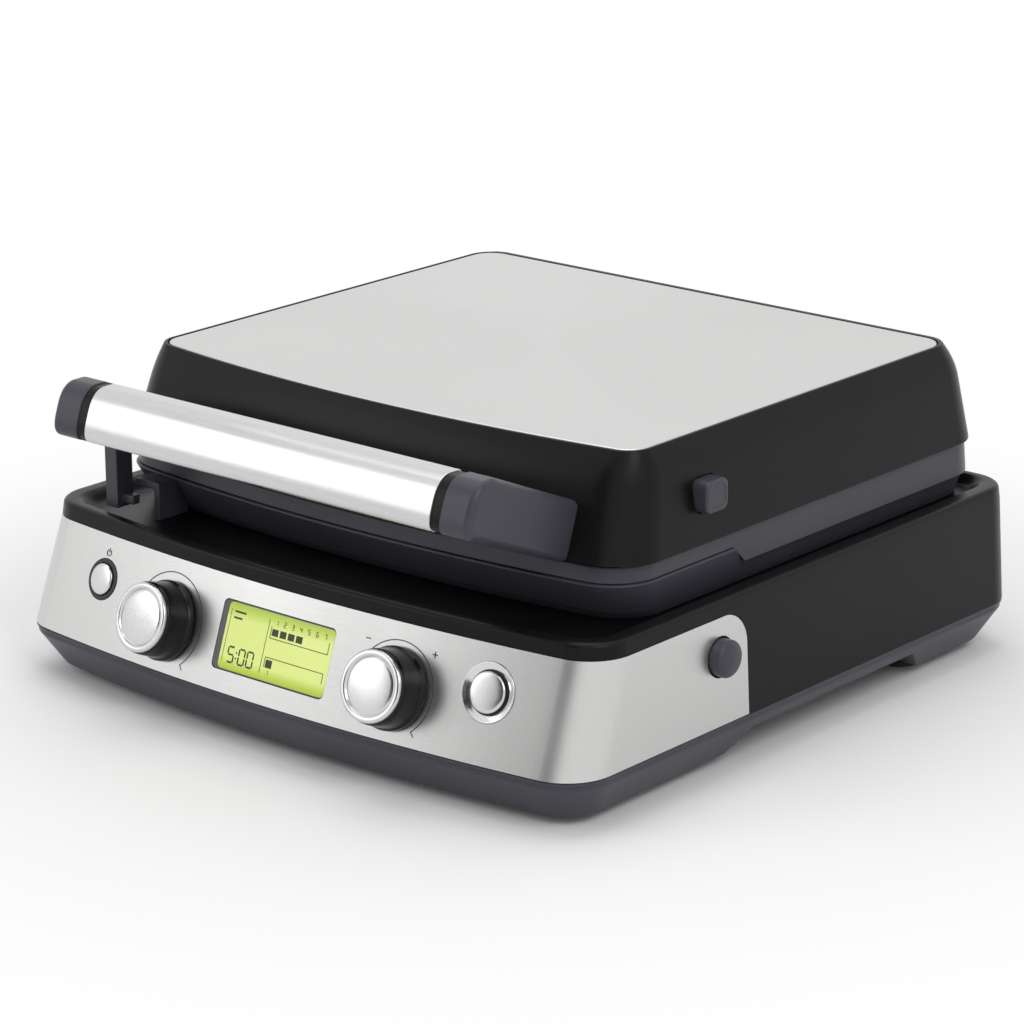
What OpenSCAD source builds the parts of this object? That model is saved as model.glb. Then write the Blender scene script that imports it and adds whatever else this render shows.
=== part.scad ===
// Four-square waffle maker with a hinged lid, bowed front and slanted control panel.
// Origin: centre of the footprint on the resting surface. -Y is the front, +X the user's right.

/* [Base] */
// Half width of the base where it is widest, at the bottom of the steel band
base_half_w = 197.5; // [180:1:220]
// Distance from the origin to the middle of the bowed front, at the bottom of the steel band
base_front = 205; // [195:1:225]
// Distance from the origin to the rear of the base
base_rear = 196; // [192:1:215]
// How far the front bows forward between the sides
front_bow = 14.5; // [8:0.5:20]
// Corner radius at the front of the base
corner_r = 27; // [18:1:36]
// Height of the lower edge of the steel band
band_z = 28.5; // [24:0.5:34]
// Height of the steel band, measured straight up
band_h = 57; // [50:1:64]
// How far the panel leans back over its height
panel_lean = 20.5; // [14:0.5:26]
// How far the sides draw in over the height of the band
side_draft = 3; // [1:0.5:5]
// Wall of the moulded shells
shell_wall = 3; // [2:0.5:4]
// Thickness of the steel band
band_t = 1.2; // [0.8:0.1:2]
// Rear end of the steel band on each side
band_rear = -54; // [-70:1:-40]
// Radius of the band's upper rear corners
band_corner_r = 18; // [10:1:24]
// Height of the skirt's lower edge
skirt_z = 5; // [4:0.5:8]
// Height of the raised part of the skirt between the legs
skirt_gap_z = 18; // [14:1:22]
// Front end of the raised part of the skirt
skirt_gap_y0 = -44; // [-70:1:-30]
// Rear end of the raised part of the skirt
skirt_gap_y1 = 99; // [60:1:104]
// How far the ends of the legs slope
skirt_gap_run = 16; // [4:1:20]
// Height of the rounded lip round the top of the base
lip_z = 94; // [92:0.5:97]

/* [Controls] */
// Distance of each knob from the middle of the panel
knob_x = 80; // [72:1:88]
// Height of the knob axes at the panel
knob_z = 54; // [50:1:58]
// Outer diameter of a knob's skirt
knob_d = 43; // [38:1:46]
// Diameter of a knob's steel-faced cap
knob_cap_d = 37; // [32:1:38]
// How far a knob stands out of the panel
knob_h = 20; // [14:1:26]
// Distance of each push button from the middle of the panel
button_x = 136; // [128:1:142]
// Height of the push buttons at the panel
button_z = 63; // [58:1:68]
// Diameter of the start button
start_d = 17; // [14:1:20]
// Diameter of the texture button
texture_d = 21; // [18:1:24]
// Travel of the push buttons
button_travel = 1.5; // [1:0.1:2.5]
// Width and height of the display window
lcd_w = 75; // [64:1:80]
lcd_h = 37; // [30:1:40]
// Diameter of the rotary encoder shafts
shaft_d = 6; // [5:0.5:8]

/* [Lid] */
// Half width of the lid at its lower edge
lid_half_w = 180; // [170:1:184]
// Distance from the origin to the middle of the lid's bowed front
lid_front = 146; // [140:1:152]
// Distance from the origin to the rear of the lid
lid_rear = 184; // [176:1:186]
// Height of the lid cover's lower edge
lid_z = 119.5; // [117:0.5:124]
// Height of the flat top of the lid
lid_top_z = 174; // [168:1:186]
// Half width of the steel plate let into the lid's top
plate_half_w = 165; // [150:1:168]
// Distance from the origin to the middle of the steel plate's front edge
plate_front = 122.5; // [114:1:126]
// Distance from the origin to the steel plate's rear edge
plate_rear = 165; // [156:1:170]
// Height of the parting line at the front and at the rear
part_front_z = 110; // [108:0.5:112]
part_rear_z = 100.5; // [99:0.5:102]
// Where the parting line steps down on each side
part_step_y = -37; // [-50:1:-20]

/* [Handle] */
// Half length of the steel sleeve
sleeve_half = 120; // [100:1:126]
// Half length of the whole handle
handle_half = 145; // [136:1:152]
// Distance from the origin to the front of the handle at its upper edge
handle_front = 203; // [196:1:210]
// Height of the handle's lower and upper edges
handle_z0 = 147; // [142:1:150]
handle_z1 = 175; // [170:1:180]
// Depth of the handle from front to back
handle_depth = 20; // [16:1:24]
// Width of each arm between the handle and the lid
arm_w = 42; // [30:1:50]

/* [Cooking] */
// Half width and half depth of the waffle plates
plate_w2 = 140; // [130:1:143]
plate_d2 = 130; // [124:1:131]
// Width of the rim in front of and behind the waffle cavities
waffle_rim = 10; // [8:1:20]
// Width of the wall between two waffle cavities
waffle_gap = 12; // [8:1:20]
// Depth of each waffle cavity
waffle_depth = 12; // [8:1:12]
// Studs along each side of a waffle
waffle_studs = 5; // [3:1:6]
// Diameter of the tubular heating elements
heater_d = 7; // [6:0.5:8]

/* [Fits] */
// Clearance between parts that move past each other
run_gap = 0.4; // [0.3:0.05:0.6]
// Radial clearance of a pin in its running bore
pin_gap = 0.06; // [0.02:0.01:0.1]
// Travel of the plate release buttons
release_travel = 3; // [2:0.5:4]
// Diameter of the hinge pins
hinge_pin_d = 5; // [4:0.5:7]

/* [Hidden] */
$fn = 48;

black = [0.05, 0.05, 0.05];
dark_grey = [0.2, 0.2, 0.22];
steel = [0.78, 0.78, 0.78];
sliver = 0.02;
big = 600;

// Outline: half width, front, bow, front corner radius, rear, rear corner radius
band_z1 = band_z + band_h;
slant = atan(panel_lean / band_h);
out_low = [base_half_w, base_front, front_bow, corner_r, base_rear, 25];
out_high = [base_half_w - side_draft, base_front - panel_lean, front_bow, corner_r - 2, base_rear - 2, 24];
out_skirt = [base_half_w - 11.5, base_front - 11.3, front_bow, 22, base_rear - 11, 20];
deck_z = band_z1 + 2.5;
bow_r = (pow(base_half_w, 2) + pow(front_bow, 2)) / (2 * front_bow);

lid_bow = 14;
out_lid_low = [lid_half_w, lid_front, lid_bow, 30, lid_rear, 26];
out_lid_mid = [lid_half_w - 7, lid_front - 14, lid_bow, 26, lid_rear - 6, 24];
out_lid_top = [plate_half_w + 2, plate_front + 2, lid_bow, 14, plate_rear + 3, 16];
out_plate = [plate_half_w, plate_front, lid_bow, 12, plate_rear, 14];
lid_shoulder_z = lid_top_z - 11;
surround_rear = lid_rear + 2;
out_rim_low = [lid_half_w - 8, lid_front - 14, lid_bow, 26, surround_rear - 4, 24];
out_rim = [lid_half_w - 2.5, lid_front - 1, lid_bow, 28, surround_rear, 26];
out_rim_top = [lid_half_w - 4, lid_front - 4, lid_bow, 27, surround_rear, 26];
rim_z = deck_z;
moat_z = rim_z + 7;
part_gap = 0.3;

// Middle of the waffle plates, which sit square behind the bowed front
plates_y = (lid_rear - lid_front) / 2 + 4;
plate_t = 3;
plate_top_z = (part_front_z + part_rear_z) / 2 - 0.5;
plate_meet_gap = 0.6;
waffle_w = min(plate_w2, plate_d2) - waffle_rim - waffle_gap / 2;
waffle_x = (waffle_w + waffle_gap) / 2;
tray_w2 = plate_w2 + 5;
tray_d2 = plate_d2 + 5;
tray_wall = 1.5;
plate_bottom_z = plate_top_z - waffle_depth - plate_t;
lower_tray_z = plate_bottom_z - 20;
upper_plate_z = plate_top_z + plate_meet_gap;
upper_tray_z = upper_plate_z + waffle_depth + plate_t + 20;

hinge_y = surround_rear + 7.5;
hinge_z = part_rear_z + 3.5;
hinge_r = 6;
hinge_x = 106;
bracket_w = 12;
knuckle_w = 12;

release_y = -76;
release_z = 65;
release_d = 20;
lid_release_y = -65;
lid_release_z = 144.5;
release_stand = 8;

handle_lean = 10;
arm_drop = 28;
lock_x = -152;
lock_y = -156;
lock_w = 9;
lock_pin_d = 4;
lock_pivot_z = 136;

function bowed(o, nb = 8, nc = 5) =
    let (a = o[0], f = o[1], s = o[2], r = o[3], b = o[4], rb = o[5])
    let (big_r = (a * a + s * s) / (2 * s), yc = big_r - f, cx = a - r)
    let (cy = yc - sqrt(pow(big_r - r, 2) - cx * cx), t0 = atan2(cy - yc, cx))
    concat(
        [for (i = [-nb:nb]) let (t = -90 + (t0 + 90) * i / nb) [big_r * cos(t), yc + big_r * sin(t)]],
        [for (i = [1:nc]) let (t = t0 - t0 * i / nc) [cx + r * cos(t), cy + r * sin(t)]],
        [for (i = [0:nc]) let (t = 90 * i / nc) [a - rb + rb * cos(t), b - rb + rb * sin(t)]],
        [for (i = [0:nc]) let (t = 90 + 90 * i / nc) [rb - a + rb * cos(t), b - rb + rb * sin(t)]],
        [for (i = [0:nc - 1]) let (t = 180 - t0 * i / nc) [r - a + r * cos(t), cy + r * sin(t)]]
    );

// The same outline drawn in by t all round
function inset(o, t) = [o[0] - t, o[1] - t, o[2], o[3] - t, o[4] - t, o[5] - t];

// Outline part of the way from one outline to another
function between(p, q, k) = [for (i = [0:5]) p[i] + (q[i] - p[i]) * k];

// Outline of the base at a height within the steel band
function base_at(z) = between(out_low, out_high, (z - band_z) / band_h);

// Front of the panel at a place across it and a height
function panel_y(x, z) =
    bow_r - sqrt(bow_r * bow_r - x * x) - base_front + panel_lean * (z - band_z) / band_h;

module slab(o, z) {
    translate([0, 0, z]) linear_extrude(sliver) polygon(bowed(o));
}

module loft(o1, z1, o2, z2) {
    hull() {
        slab(o1, z1);
        slab(o2, z2 - sliver);
    }
}

module prism(o, z1, z2) {
    translate([0, 0, z1]) linear_extrude(z2 - z1) polygon(bowed(o));
}

// Places children on the panel: local +Z points out of it, +Y up along it
module on_panel(x, z) {
    translate([x, panel_y(x, z), z]) rotate([0, 0, asin(x / bow_r)]) rotate([90 - slant, 0, 0]) children();
}

module round_rect(w, h, r) {
    square([w - 2 * r, h], center = true);
    square([w, h - 2 * r], center = true);
    for (x = [-1, 1], y = [-1, 1]) translate([x * (w / 2 - r), y * (h / 2 - r)]) circle(r);
}

module rounded_block(w, d, h, r) {
    linear_extrude(h) round_rect(w, d, r);
}

// Side view of the steel band, wide enough to cut both sides
module band_profile() {
    rotate([90, 0, 90]) linear_extrude(big, center = true) {
        translate([-big, band_z - 1]) square([big + band_rear - band_corner_r, band_h + 1]);
        translate([-big, band_z - 1]) square([big + band_rear, band_h - band_corner_r + 1]);
        translate([band_rear - band_corner_r, band_z1 - band_corner_r]) circle(band_corner_r);
    }
}

// ---- Base ----

// Side view of the space between the legs, grown by t, cut across the whole width
module skirt_gap(t) {
    rotate([90, 0, 90]) linear_extrude(big, center = true) polygon([
        [skirt_gap_y0 - skirt_gap_run - t, skirt_z], [skirt_gap_y0 - t, skirt_gap_z + t],
        [skirt_gap_y1 + t, skirt_gap_z + t], [skirt_gap_y1 + skirt_gap_run + t, skirt_z],
        [skirt_gap_y1 + skirt_gap_run + t, 0], [skirt_gap_y0 - skirt_gap_run - t, 0]
    ]);
}

module bottom_shell() {
    color(dark_grey) difference() {
        loft(out_skirt, skirt_z, out_low, band_z);
        skirt_gap(0);
        difference() {
            loft(inset(out_skirt, shell_wall), skirt_z + shell_wall, inset(out_low, shell_wall),
                band_z + 1);
            skirt_gap(shell_wall);
            foot_places() cylinder(d = foot_d + 2 * foot_gap + 2 * shell_wall,
                h = skirt_gap_z + shell_wall);
        }
        foot_places() cylinder(d = foot_d + 2 * foot_gap, h = skirt_gap_z);
        for (i = [-4:4]) translate([i * 16, 0, 0]) linear_extrude(skirt_gap_z + 2 * shell_wall)
            round_rect(5, 70, 2.4);
        screw_places() cylinder(d = screw_d + 0.4, h = 20);
        screw_places() translate([0, 0, skirt_z - 1]) cylinder(d = screw_head_d + 0.4, h = 2.5);
    }
    color(dark_grey) for (x = [0.06, 0.94], y = [0.12, 0.88])
        translate([board_x0 + x * board_w, board_y0 + y * board_d, skirt_z + shell_wall])
            cylinder(d = 6, h = board_z - skirt_z - shell_wall);
}

screw_d = 3;
screw_head_d = 6;

screw_x = base_half_w - 25.5;
screw_y = [-95, 155];

module screw_places() {
    for (x = [-screw_x, screw_x], y = screw_y) translate([x, y, 0]) children();
}

feet_x = 165;
foot_y = [-127, 127];
foot_d = 24;
foot_gap = 1;
foot_round = 1.5;

module foot_places() {
    for (x = [-feet_x, feet_x], y = foot_y) translate([x, y, 0]) children();
}

module rubber_feet() {
    color(black) foot_places() rotate_extrude() polygon([
        [0, 0], [foot_d / 2 - foot_round, 0], [foot_d / 2, foot_round], [foot_d / 2, skirt_gap_z], [0,
            skirt_gap_z]
    ]);
}

// The lip that stands round the deck, and the dished deck inside it
lip_round = 2.5;
out_lip_side = inset(out_high, 0.8);
out_lip_top = inset(out_high, 4);
out_dish_low = [out_high[0] - 20, out_high[1] - 12.5, front_bow, 14, lid_rear - 1, 14];
out_dish_high = [out_high[0] - 9, out_high[1] - 6.5, front_bow, 18, out_high[4] - 6.4, 18];

module base_outer() {
    loft(out_low, band_z, out_high, band_z1);
    loft(out_high, band_z1 - sliver, out_lip_side, lip_z - lip_round);
    loft(out_lip_side, lip_z - lip_round - sliver, out_lip_top, lip_z);
}

module tray_opening(grow, z0, h) {
    translate([-tray_w2 - grow, plates_y - tray_d2 - grow, z0])
        cube([2 * (tray_w2 + grow), 2 * (tray_d2 + grow), h]);
}

// The skin of the band: between the outside of the base and the same inset by its thickness
module band_ring(extra) {
    intersection() {
        difference() {
            loft(inset(out_low, -extra), band_z, inset(out_high, -extra), band_z1);
            loft(inset(out_low, band_t), band_z - sliver, inset(out_high, band_t), band_z1 + sliver);
        }
        band_profile();
    }
}

module panel_cuts(deep) {
    for (x = [-knob_x, knob_x]) on_panel(x, knob_z) translate([0, 0, -deep])
        cylinder(d = shaft_d + 4, h = deep + 5);
    on_panel(0, lcd_z) translate([bezel_shift, 0, -deep]) rounded_block(bezel_w, lcd_h, deep + 5, 3);
    translate([0, release_y, release_z]) rotate([0, 90, 0]) cylinder(d = release_d + 2 * run_gap, h = big);
}

lcd_z = 57;
strip_w = 4;
bezel_w = lcd_w + strip_w;
bezel_shift = -strip_w / 2;
button_clear = 0.3;
start_ring_d = start_d + 6;
texture_ring_d = texture_d + 10;
board_depth = 22;
board_t = 1.6;
board_tall = 46;
wall_back = 4;
standoff_hole = 3;
standoff_x = [21 - button_x, -lcd_w / 2 - 7.5, lcd_w / 2 + 7.5, button_x - 21];
standoff_y = [6 - board_tall / 2, board_tall / 2 - 6];

// How far the bowed panel lies behind its middle, square to the panel
function panel_sag(x) = (bow_r - sqrt(bow_r * bow_r - x * x)) * cos(slant);

module base_housing() {
    color(black) difference() {
        union() {
            difference() {
                base_outer();
                loft(inset(base_at(band_z - 1), shell_wall + band_t), band_z - 1,
                    inset(base_at(band_z1 - shell_wall), shell_wall + band_t), band_z1 - shell_wall);
            }
            screw_places() translate([0, 0, skirt_z + shell_wall + 0.2])
                cylinder(d = 9, h = band_z1 - shell_wall - skirt_z - shell_wall);
            for (x = standoff_x, y = standoff_y) on_panel(0, lcd_z) translate([x, y, board_t - board_depth])
                cylinder(d = 2 * standoff_hole, h = board_depth - wall_back - panel_sag(x));
        }
        loft(out_dish_low, deck_z, out_dish_high, lip_z + 2 * sliver);
        for (s = [-1, 1]) translate([s * hinge_x - bracket_w / 2 - run_gap, lid_rear - 2, deck_z])
            cube([bracket_w + 2 * run_gap, 20, lip_z]);
        band_ring(1);
        tray_opening(0.5, band_z, big);
        panel_cuts(12);
        on_panel(-button_x, button_z) translate([0, 0, -12])
            cylinder(d = start_d + 2 * button_clear, h = 20);
        on_panel(button_x, button_z) translate([0, 0, -12])
            cylinder(d = texture_d + 2 * button_clear, h = 20);
        translate([cord_x, base_rear - 12, cord_z]) rotate([-90, 0, 0]) cylinder(d = gland_d + 0.2, h = 30);
        screw_places() cylinder(d = screw_d + 0.2, h = 30);
        for (x = [-terminal_gap, terminal_gap]) translate([x, plates_y, heater_z]) rotate([-90, 0, 0])
            cylinder(d = heater_d + 2, h = tray_d2 + terminal_out + 2);
    }
}

module steel_band() {
    color(steel) difference() {
        band_ring(0);
        panel_cuts(12);
        on_panel(-button_x, button_z) translate([0, 0, -12]) cylinder(d = start_ring_d, h = 20);
        on_panel(button_x, button_z) translate([0, 0, -12]) cylinder(d = texture_ring_d, h = 20);
    }
}

moat_wall = 2.5;
ring_gap = 2;
ring_top_z = part_rear_z - 1;
tray_flange = 6;

module surround_ring(z0, z1) {
    difference() {
        tray_opening(ring_gap + moat_wall, z0, z1 - z0);
        tray_opening(ring_gap, z0 - 1, z1 - z0 + 2);
    }
}

module rear_block(z0, z1, y0) {
    translate([-big / 2, y0, z0]) cube([big, big, z1 - z0]);
}

module lower_surround() {
    color(dark_grey) {
        difference() {
            loft(out_rim_low, rim_z, out_rim, part_front_z);
            loft(inset(between(out_rim_low, out_rim, 0.3), moat_wall), moat_z, inset(out_rim, moat_wall),
                part_front_z + 1);
            prism(inset(out_rim_low, moat_wall), rim_z - 1, moat_z - moat_wall);
            rear_block(part_rear_z, big, part_step_y);
            tray_opening(ring_gap, rim_z - 1, 50);
        }
        surround_ring(rim_z + tray_wall, ring_top_z);
    }
}

post_d = 10;
plate_post_x = tray_w2 - 14;
plate_post_y = tray_d2 - 14;
heater_in = 42;
heater_x = plate_w2 - heater_in;
heater_y = plate_d2 - heater_in;
heater_bend = 30;
heater_drop = 7;
terminal_gap = 22;

// Everything below is drawn for the lower plate and mirrored about this height for the upper one
mid_z = plate_top_z + plate_meet_gap / 2;

module to_lid() {
    translate([0, 0, 2 * mid_z]) mirror([0, 0, 1]) children();
}

latch_w = 8;
latch_bar_z = lower_tray_z + tray_wall + 2;
latch_bar_t = 4;
latch_hook_x = tray_w2 - 23;
latch_nose = 7;
latch_bite = 2.5;
latch_nose_z = plate_bottom_z - 7;
lug_t = 4;
riser_x = tray_w2 + 8;

module tray(flange_z, latch_y) {
    difference() {
        tray_opening(0, lower_tray_z, flange_z + tray_wall - lower_tray_z);
        tray_opening(-tray_wall, lower_tray_z + tray_wall, 60);
        translate([0, latch_y, latch_bar_z + latch_bar_t / 2])
            cube([2 * big, latch_w + 2, latch_bar_t + 2], center = true);
        translate([-big, plates_y - lug_y2, latch_nose_z - 4]) cube([big, 2 * lug_y2, 5]);
        translate([0, plates_y, lower_tray_z - 1]) cylinder(d = sensor_d + 0.4, h = 10);
        for (x = [-terminal_gap, terminal_gap]) translate([x, plates_y, heater_z]) rotate([-90, 0, 0])
            cylinder(d = heater_d + 1, h = big);
    }
    difference() {
        tray_opening(tray_flange, flange_z, tray_wall);
        tray_opening(-tray_wall, flange_z - 1, 10);
    }
    for (x = [-1, 1], y = [-1, 1]) {
        translate([x * plate_post_x, plates_y + y * plate_post_y, lower_tray_z])
            cylinder(d = post_d, h = plate_bottom_z - lower_tray_z);
        translate([x * heater_x, plates_y + y * 40, lower_tray_z])
            cylinder(d = 6, h = heater_z - heater_d / 2 - lower_tray_z);
    }
}

heater_z = plate_bottom_z - heater_drop;
terminal_out = 12;
sensor_d = 9;
lug_y2 = 12;

module lower_heater_tray() {
    color([0.6, 0.6, 0.58]) tray(deck_z, release_y);
}

module heater_leg(len) {
    rotate([-90, 0, 0]) cylinder(d = heater_d, h = len);
}

module heater_corner(a) {
    rotate([0, 0, a]) rotate_extrude(angle = 90) translate([heater_bend, 0]) circle(d = heater_d);
}

module heater() {
    translate([0, plates_y, heater_z]) {
        for (s = [-1, 1]) {
            translate([s * heater_x, -heater_y + heater_bend, 0]) heater_leg(2 * (heater_y - heater_bend));
            translate([s * terminal_gap, heater_y, 0]) heater_leg(tray_d2 - heater_y + terminal_out);
        }
        translate([heater_x - heater_bend, heater_y - heater_bend, 0]) heater_corner(0);
        translate([heater_bend - heater_x, heater_y - heater_bend, 0]) heater_corner(90);
        translate([heater_bend - heater_x, heater_bend - heater_y, 0]) heater_corner(180);
        translate([heater_x - heater_bend, heater_bend - heater_y, 0]) heater_corner(270);
        translate([heater_bend - heater_x, -heater_y, 0]) rotate([0, 90, 0])
            cylinder(d = heater_d, h = 2 * (heater_x - heater_bend));
        for (s = [-1, 1]) translate([s * (heater_x - heater_bend + terminal_gap - heater_d / 2) / 2,
            heater_y, 0]) rotate([0, 90, 0])
            cylinder(d = heater_d, h = heater_x - heater_bend - terminal_gap + heater_d / 2, center = true);
    }
}

module lower_heater() {
    color([0.35, 0.33, 0.32]) heater();
}

stud_h = waffle_depth - 5;

module plate_rim() {
    difference() {
        translate([-plate_w2, plates_y - plate_d2, plate_bottom_z + plate_t])
            cube([2 * plate_w2, 2 * plate_d2, waffle_depth]);
        for (x = [-1, 1], y = [-1, 1]) translate([x * waffle_x, plates_y + y * waffle_x, plate_bottom_z])
            linear_extrude(big) square(waffle_w, center = true);
    }
}

module waffle_plate(latch_y) {
    pitch = waffle_w / waffle_studs;
    translate([-plate_w2, plates_y - plate_d2, plate_bottom_z]) cube([2 * plate_w2, 2 * plate_d2, plate_t]);
    translate([0, plates_y, plate_bottom_z + plate_t - 0.5]) linear_extrude(stud_h + 0.5)
        for (x = [-1, 1], y = [-1, 1], i = [0:waffle_studs - 1], j = [0:waffle_studs - 1])
            translate([x * waffle_x + (i - (waffle_studs - 1) / 2) * pitch,
                y * waffle_x + (j - (waffle_studs - 1) / 2) * pitch])
                square(pitch * 0.55, center = true);
    // Lug that the release latch holds, with its nose pointing in
    translate([latch_hook_x + lug_t + latch_nose - latch_bite, latch_y - latch_w / 2, latch_nose_z - 4]) {
        translate([latch_bite + 1, 0, 0]) cube([lug_t, latch_w, plate_bottom_z - latch_nose_z + 5]);
        cube([lug_t + 1, latch_w, 3.4]);
    }
    // Fixed tongue on the other side, which sits in a slot of the tray
    translate([-tray_w2, plates_y - lug_y2 + 1, latch_nose_z - 3]) {
        cube([12, 2 * lug_y2 - 2, 3]);
        translate([tray_wall + 3, 0, 0]) cube([4, 2 * lug_y2 - 2, plate_bottom_z - latch_nose_z + 4]);
    }
}

module lower_plate() {
    color([0.16, 0.16, 0.17]) waffle_plate(release_y);
}

module lower_plate_rim() {
    color([0.16, 0.16, 0.17]) plate_rim();
}

module sensor() {
    translate([0, plates_y, lower_tray_z]) {
        cylinder(d = sensor_d, h = plate_bottom_z - lower_tray_z);
        translate([0, 0, -2]) cylinder(d = sensor_d + 5, h = 2);
    }
}

module lower_sensor() {
    color([0.75, 0.75, 0.7]) sensor();
}

module hinge_brackets() {
    color(dark_grey) for (s = [-1, 1]) difference() {
        union() {
            translate([s * hinge_x - bracket_w / 2, hinge_y, hinge_z]) rotate([0, 90, 0])
                cylinder(r = hinge_r, h = bracket_w);
            translate([s * hinge_x - bracket_w / 2, surround_rear + run_gap, deck_z])
                cube([bracket_w, hinge_y + 4 - surround_rear - run_gap, hinge_z - deck_z]);
        }
        translate([s * hinge_x - 30, hinge_y, hinge_z]) rotate([0, 90, 0])
            cylinder(d = hinge_pin_d, h = 60);
    }
}

pin_len = bracket_w + 2 * knuckle_w + 2 * run_gap + 2;

module hinge_pins() {
    color(steel) for (s = [-1, 1]) translate([s * hinge_x, hinge_y, hinge_z]) rotate([0, 90, 0])
        cylinder(d = hinge_pin_d, h = pin_len, center = true);
}

cord_x = -120;
cord_z = 50;
gland_d = 16;

module cord_gland() {
    color(black) translate([cord_x, base_rear - 6, cord_z]) rotate([-90, 0, 0]) difference() {
        union() {
            cylinder(d = gland_d, h = 6.5);
            translate([0, 0, 6]) cylinder(d = gland_d + 6, h = 2);
        }
        translate([0, 0, -1]) cylinder(d = 7.5, h = 20);
    }
}

module base_screws() {
    color(steel) screw_places() translate([0, 0, skirt_z]) {
        cylinder(d = screw_head_d, h = 1.5);
        cylinder(d = screw_d, h = 14);
    }
}

// ---- Controls and electronics ----

module control_board() {
    color([0.05, 0.3, 0.12]) on_panel(0, lcd_z) translate([0, 0, -board_depth]) difference() {
        rounded_block(2 * button_x + 24, board_tall, board_t, 3);
        for (x = standoff_x, y = standoff_y) translate([x, y, -1]) cylinder(d = standoff_hole, h = 5);
    }
}

lcd_front = 6.2;
lens_t = 1.5;

module lcd_module() {
    color([0.7, 0.85, 0.3]) on_panel(0, lcd_z) translate([0, 0, -board_depth + board_t])
        translate([-lcd_w / 2, -lcd_h / 2, 0]) cube([lcd_w, lcd_h, board_depth - board_t - lcd_front]);
}

module display_bezel() {
    color(dark_grey) on_panel(0, lcd_z) difference() {
        translate([bezel_shift, 0, -lcd_front + 0.1])
            rounded_block(bezel_w - 2 * button_clear, lcd_h - 2 * button_clear, lcd_front - 1, 2.7);
        translate([0, 0, -lens_t]) rounded_block(lcd_w, lcd_h + 1, 5, 1);
        translate([0, 0, -lcd_front - 1]) rounded_block(lcd_w - 5, lcd_h - 5, 10, 2);
    }
}

module display_lens() {
    color([0.75, 0.9, 0.3]) on_panel(0, lcd_z) translate([0, 0, -lens_t])
        rounded_block(lcd_w - button_clear, lcd_h - 2 * button_clear - 0.4, lens_t, 2.6);
}

encoder_back = 17.5;
encoder_h = 9;
encoder_w = 13;

module encoder(x) {
    color([0.3, 0.3, 0.3]) on_panel(x, knob_z) difference() {
        union() {
            translate([-encoder_w / 2, -encoder_w / 2, -encoder_back])
                cube([encoder_w, encoder_w, encoder_h]);
            translate([0, 0, encoder_h - encoder_back - 1])
                cylinder(d = shaft_d + 3, h = encoder_back - encoder_h + 1 - 2);
        }
        translate([0, 0, -encoder_back + 1.5]) cylinder(d = shaft_d + 2 * pin_gap, h = big);
    }
}

module left_encoder() {
    encoder(-knob_x);
}

module right_encoder() {
    encoder(knob_x);
}

knob_lift = 0.8;
cap_t = 2;

module knob(x) {
    color(black) on_panel(x, knob_z) {
        translate([0, 0, -encoder_back + 2]) cylinder(d = shaft_d, h = encoder_back + 2);
        rotate_extrude() polygon([
            [0, knob_lift], [knob_d / 2 - 0.6, knob_lift], [knob_d / 2, knob_lift + 0.6], [knob_d / 2,
                knob_lift + 2.5],
            [knob_d / 2 - 1.2, knob_lift + 4], [knob_cap_d / 2 + 0.9, knob_h - cap_t - 2],
            [knob_cap_d / 2, knob_h - cap_t], [0, knob_h - cap_t]
        ]);
    }
}

module knob_cap(x) {
    r = knob_cap_d / 2;
    color(steel) on_panel(x, knob_z) rotate_extrude() polygon([
        [0, knob_h - cap_t], [r, knob_h - cap_t], [r, knob_h - 0.8], [r - 0.8, knob_h],
        [r - 3.2, knob_h], [r - 4, knob_h - 0.6], [0, knob_h - 0.6]
    ]);
}

module left_knob() {
    knob(-knob_x);
}

module left_knob_cap() {
    knob_cap(-knob_x);
}

module right_knob() {
    knob(knob_x);
}

module right_knob_cap() {
    knob_cap(knob_x);
}

module ring(d_out, d_in) {
    translate([0, 0, -band_t]) difference() {
        cylinder(d = d_out - 0.2, h = band_t + 0.4);
        translate([0, 0, -1]) cylinder(d = d_in, h = 5);
    }
}

module button_rings() {
    color(black) on_panel(-button_x, button_z) ring(start_ring_d, start_d + 2 * button_clear);
    color(steel) on_panel(button_x, button_z) ring(texture_ring_d, texture_d + 2 * button_clear);
}

button_stand = 2;
flange_front = 4.6;
flange_t = 1.6;

module push_button(d) {
    r = d / 2;
    rotate_extrude() polygon([
        [0, -flange_front - flange_t], [r + 2, -flange_front - flange_t], [r + 2, -flange_front], [r,
            -flange_front],
        [r, button_stand - 0.8], [r - 0.8, button_stand], [0, button_stand]
    ]);
}

module start_button() {
    color(steel) on_panel(-button_x, button_z) push_button(start_d);
}

module texture_button() {
    color(steel) on_panel(button_x, button_z) push_button(texture_d);
}

switch_top = flange_front + flange_t + button_travel + 0.3;
switch_clear = 0.55;
switch_h = board_depth - board_t - panel_sag(button_x) - switch_top - switch_clear;

module button_switches() {
    color([0.25, 0.25, 0.25]) for (s = [-1, 1]) on_panel(s * button_x, button_z)
        translate([-3, -3, -switch_top - switch_h]) cube([6, 6, switch_h]);
}

board_x0 = -70;
board_y0 = -150;
board_w = 120;
board_d = 40;
board_z = skirt_gap_z + shell_wall + 6;

module power_board() {
    color([0.45, 0.3, 0.1]) translate([board_x0, board_y0, board_z]) cube([board_w, board_d, board_t]);
}

module relay() {
    color([0.1, 0.1, 0.1]) translate([board_x0 + 20, board_y0 + 5, board_z + board_t]) cube([28, 14, 16]);
}

// ---- Plate releases ----

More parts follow.
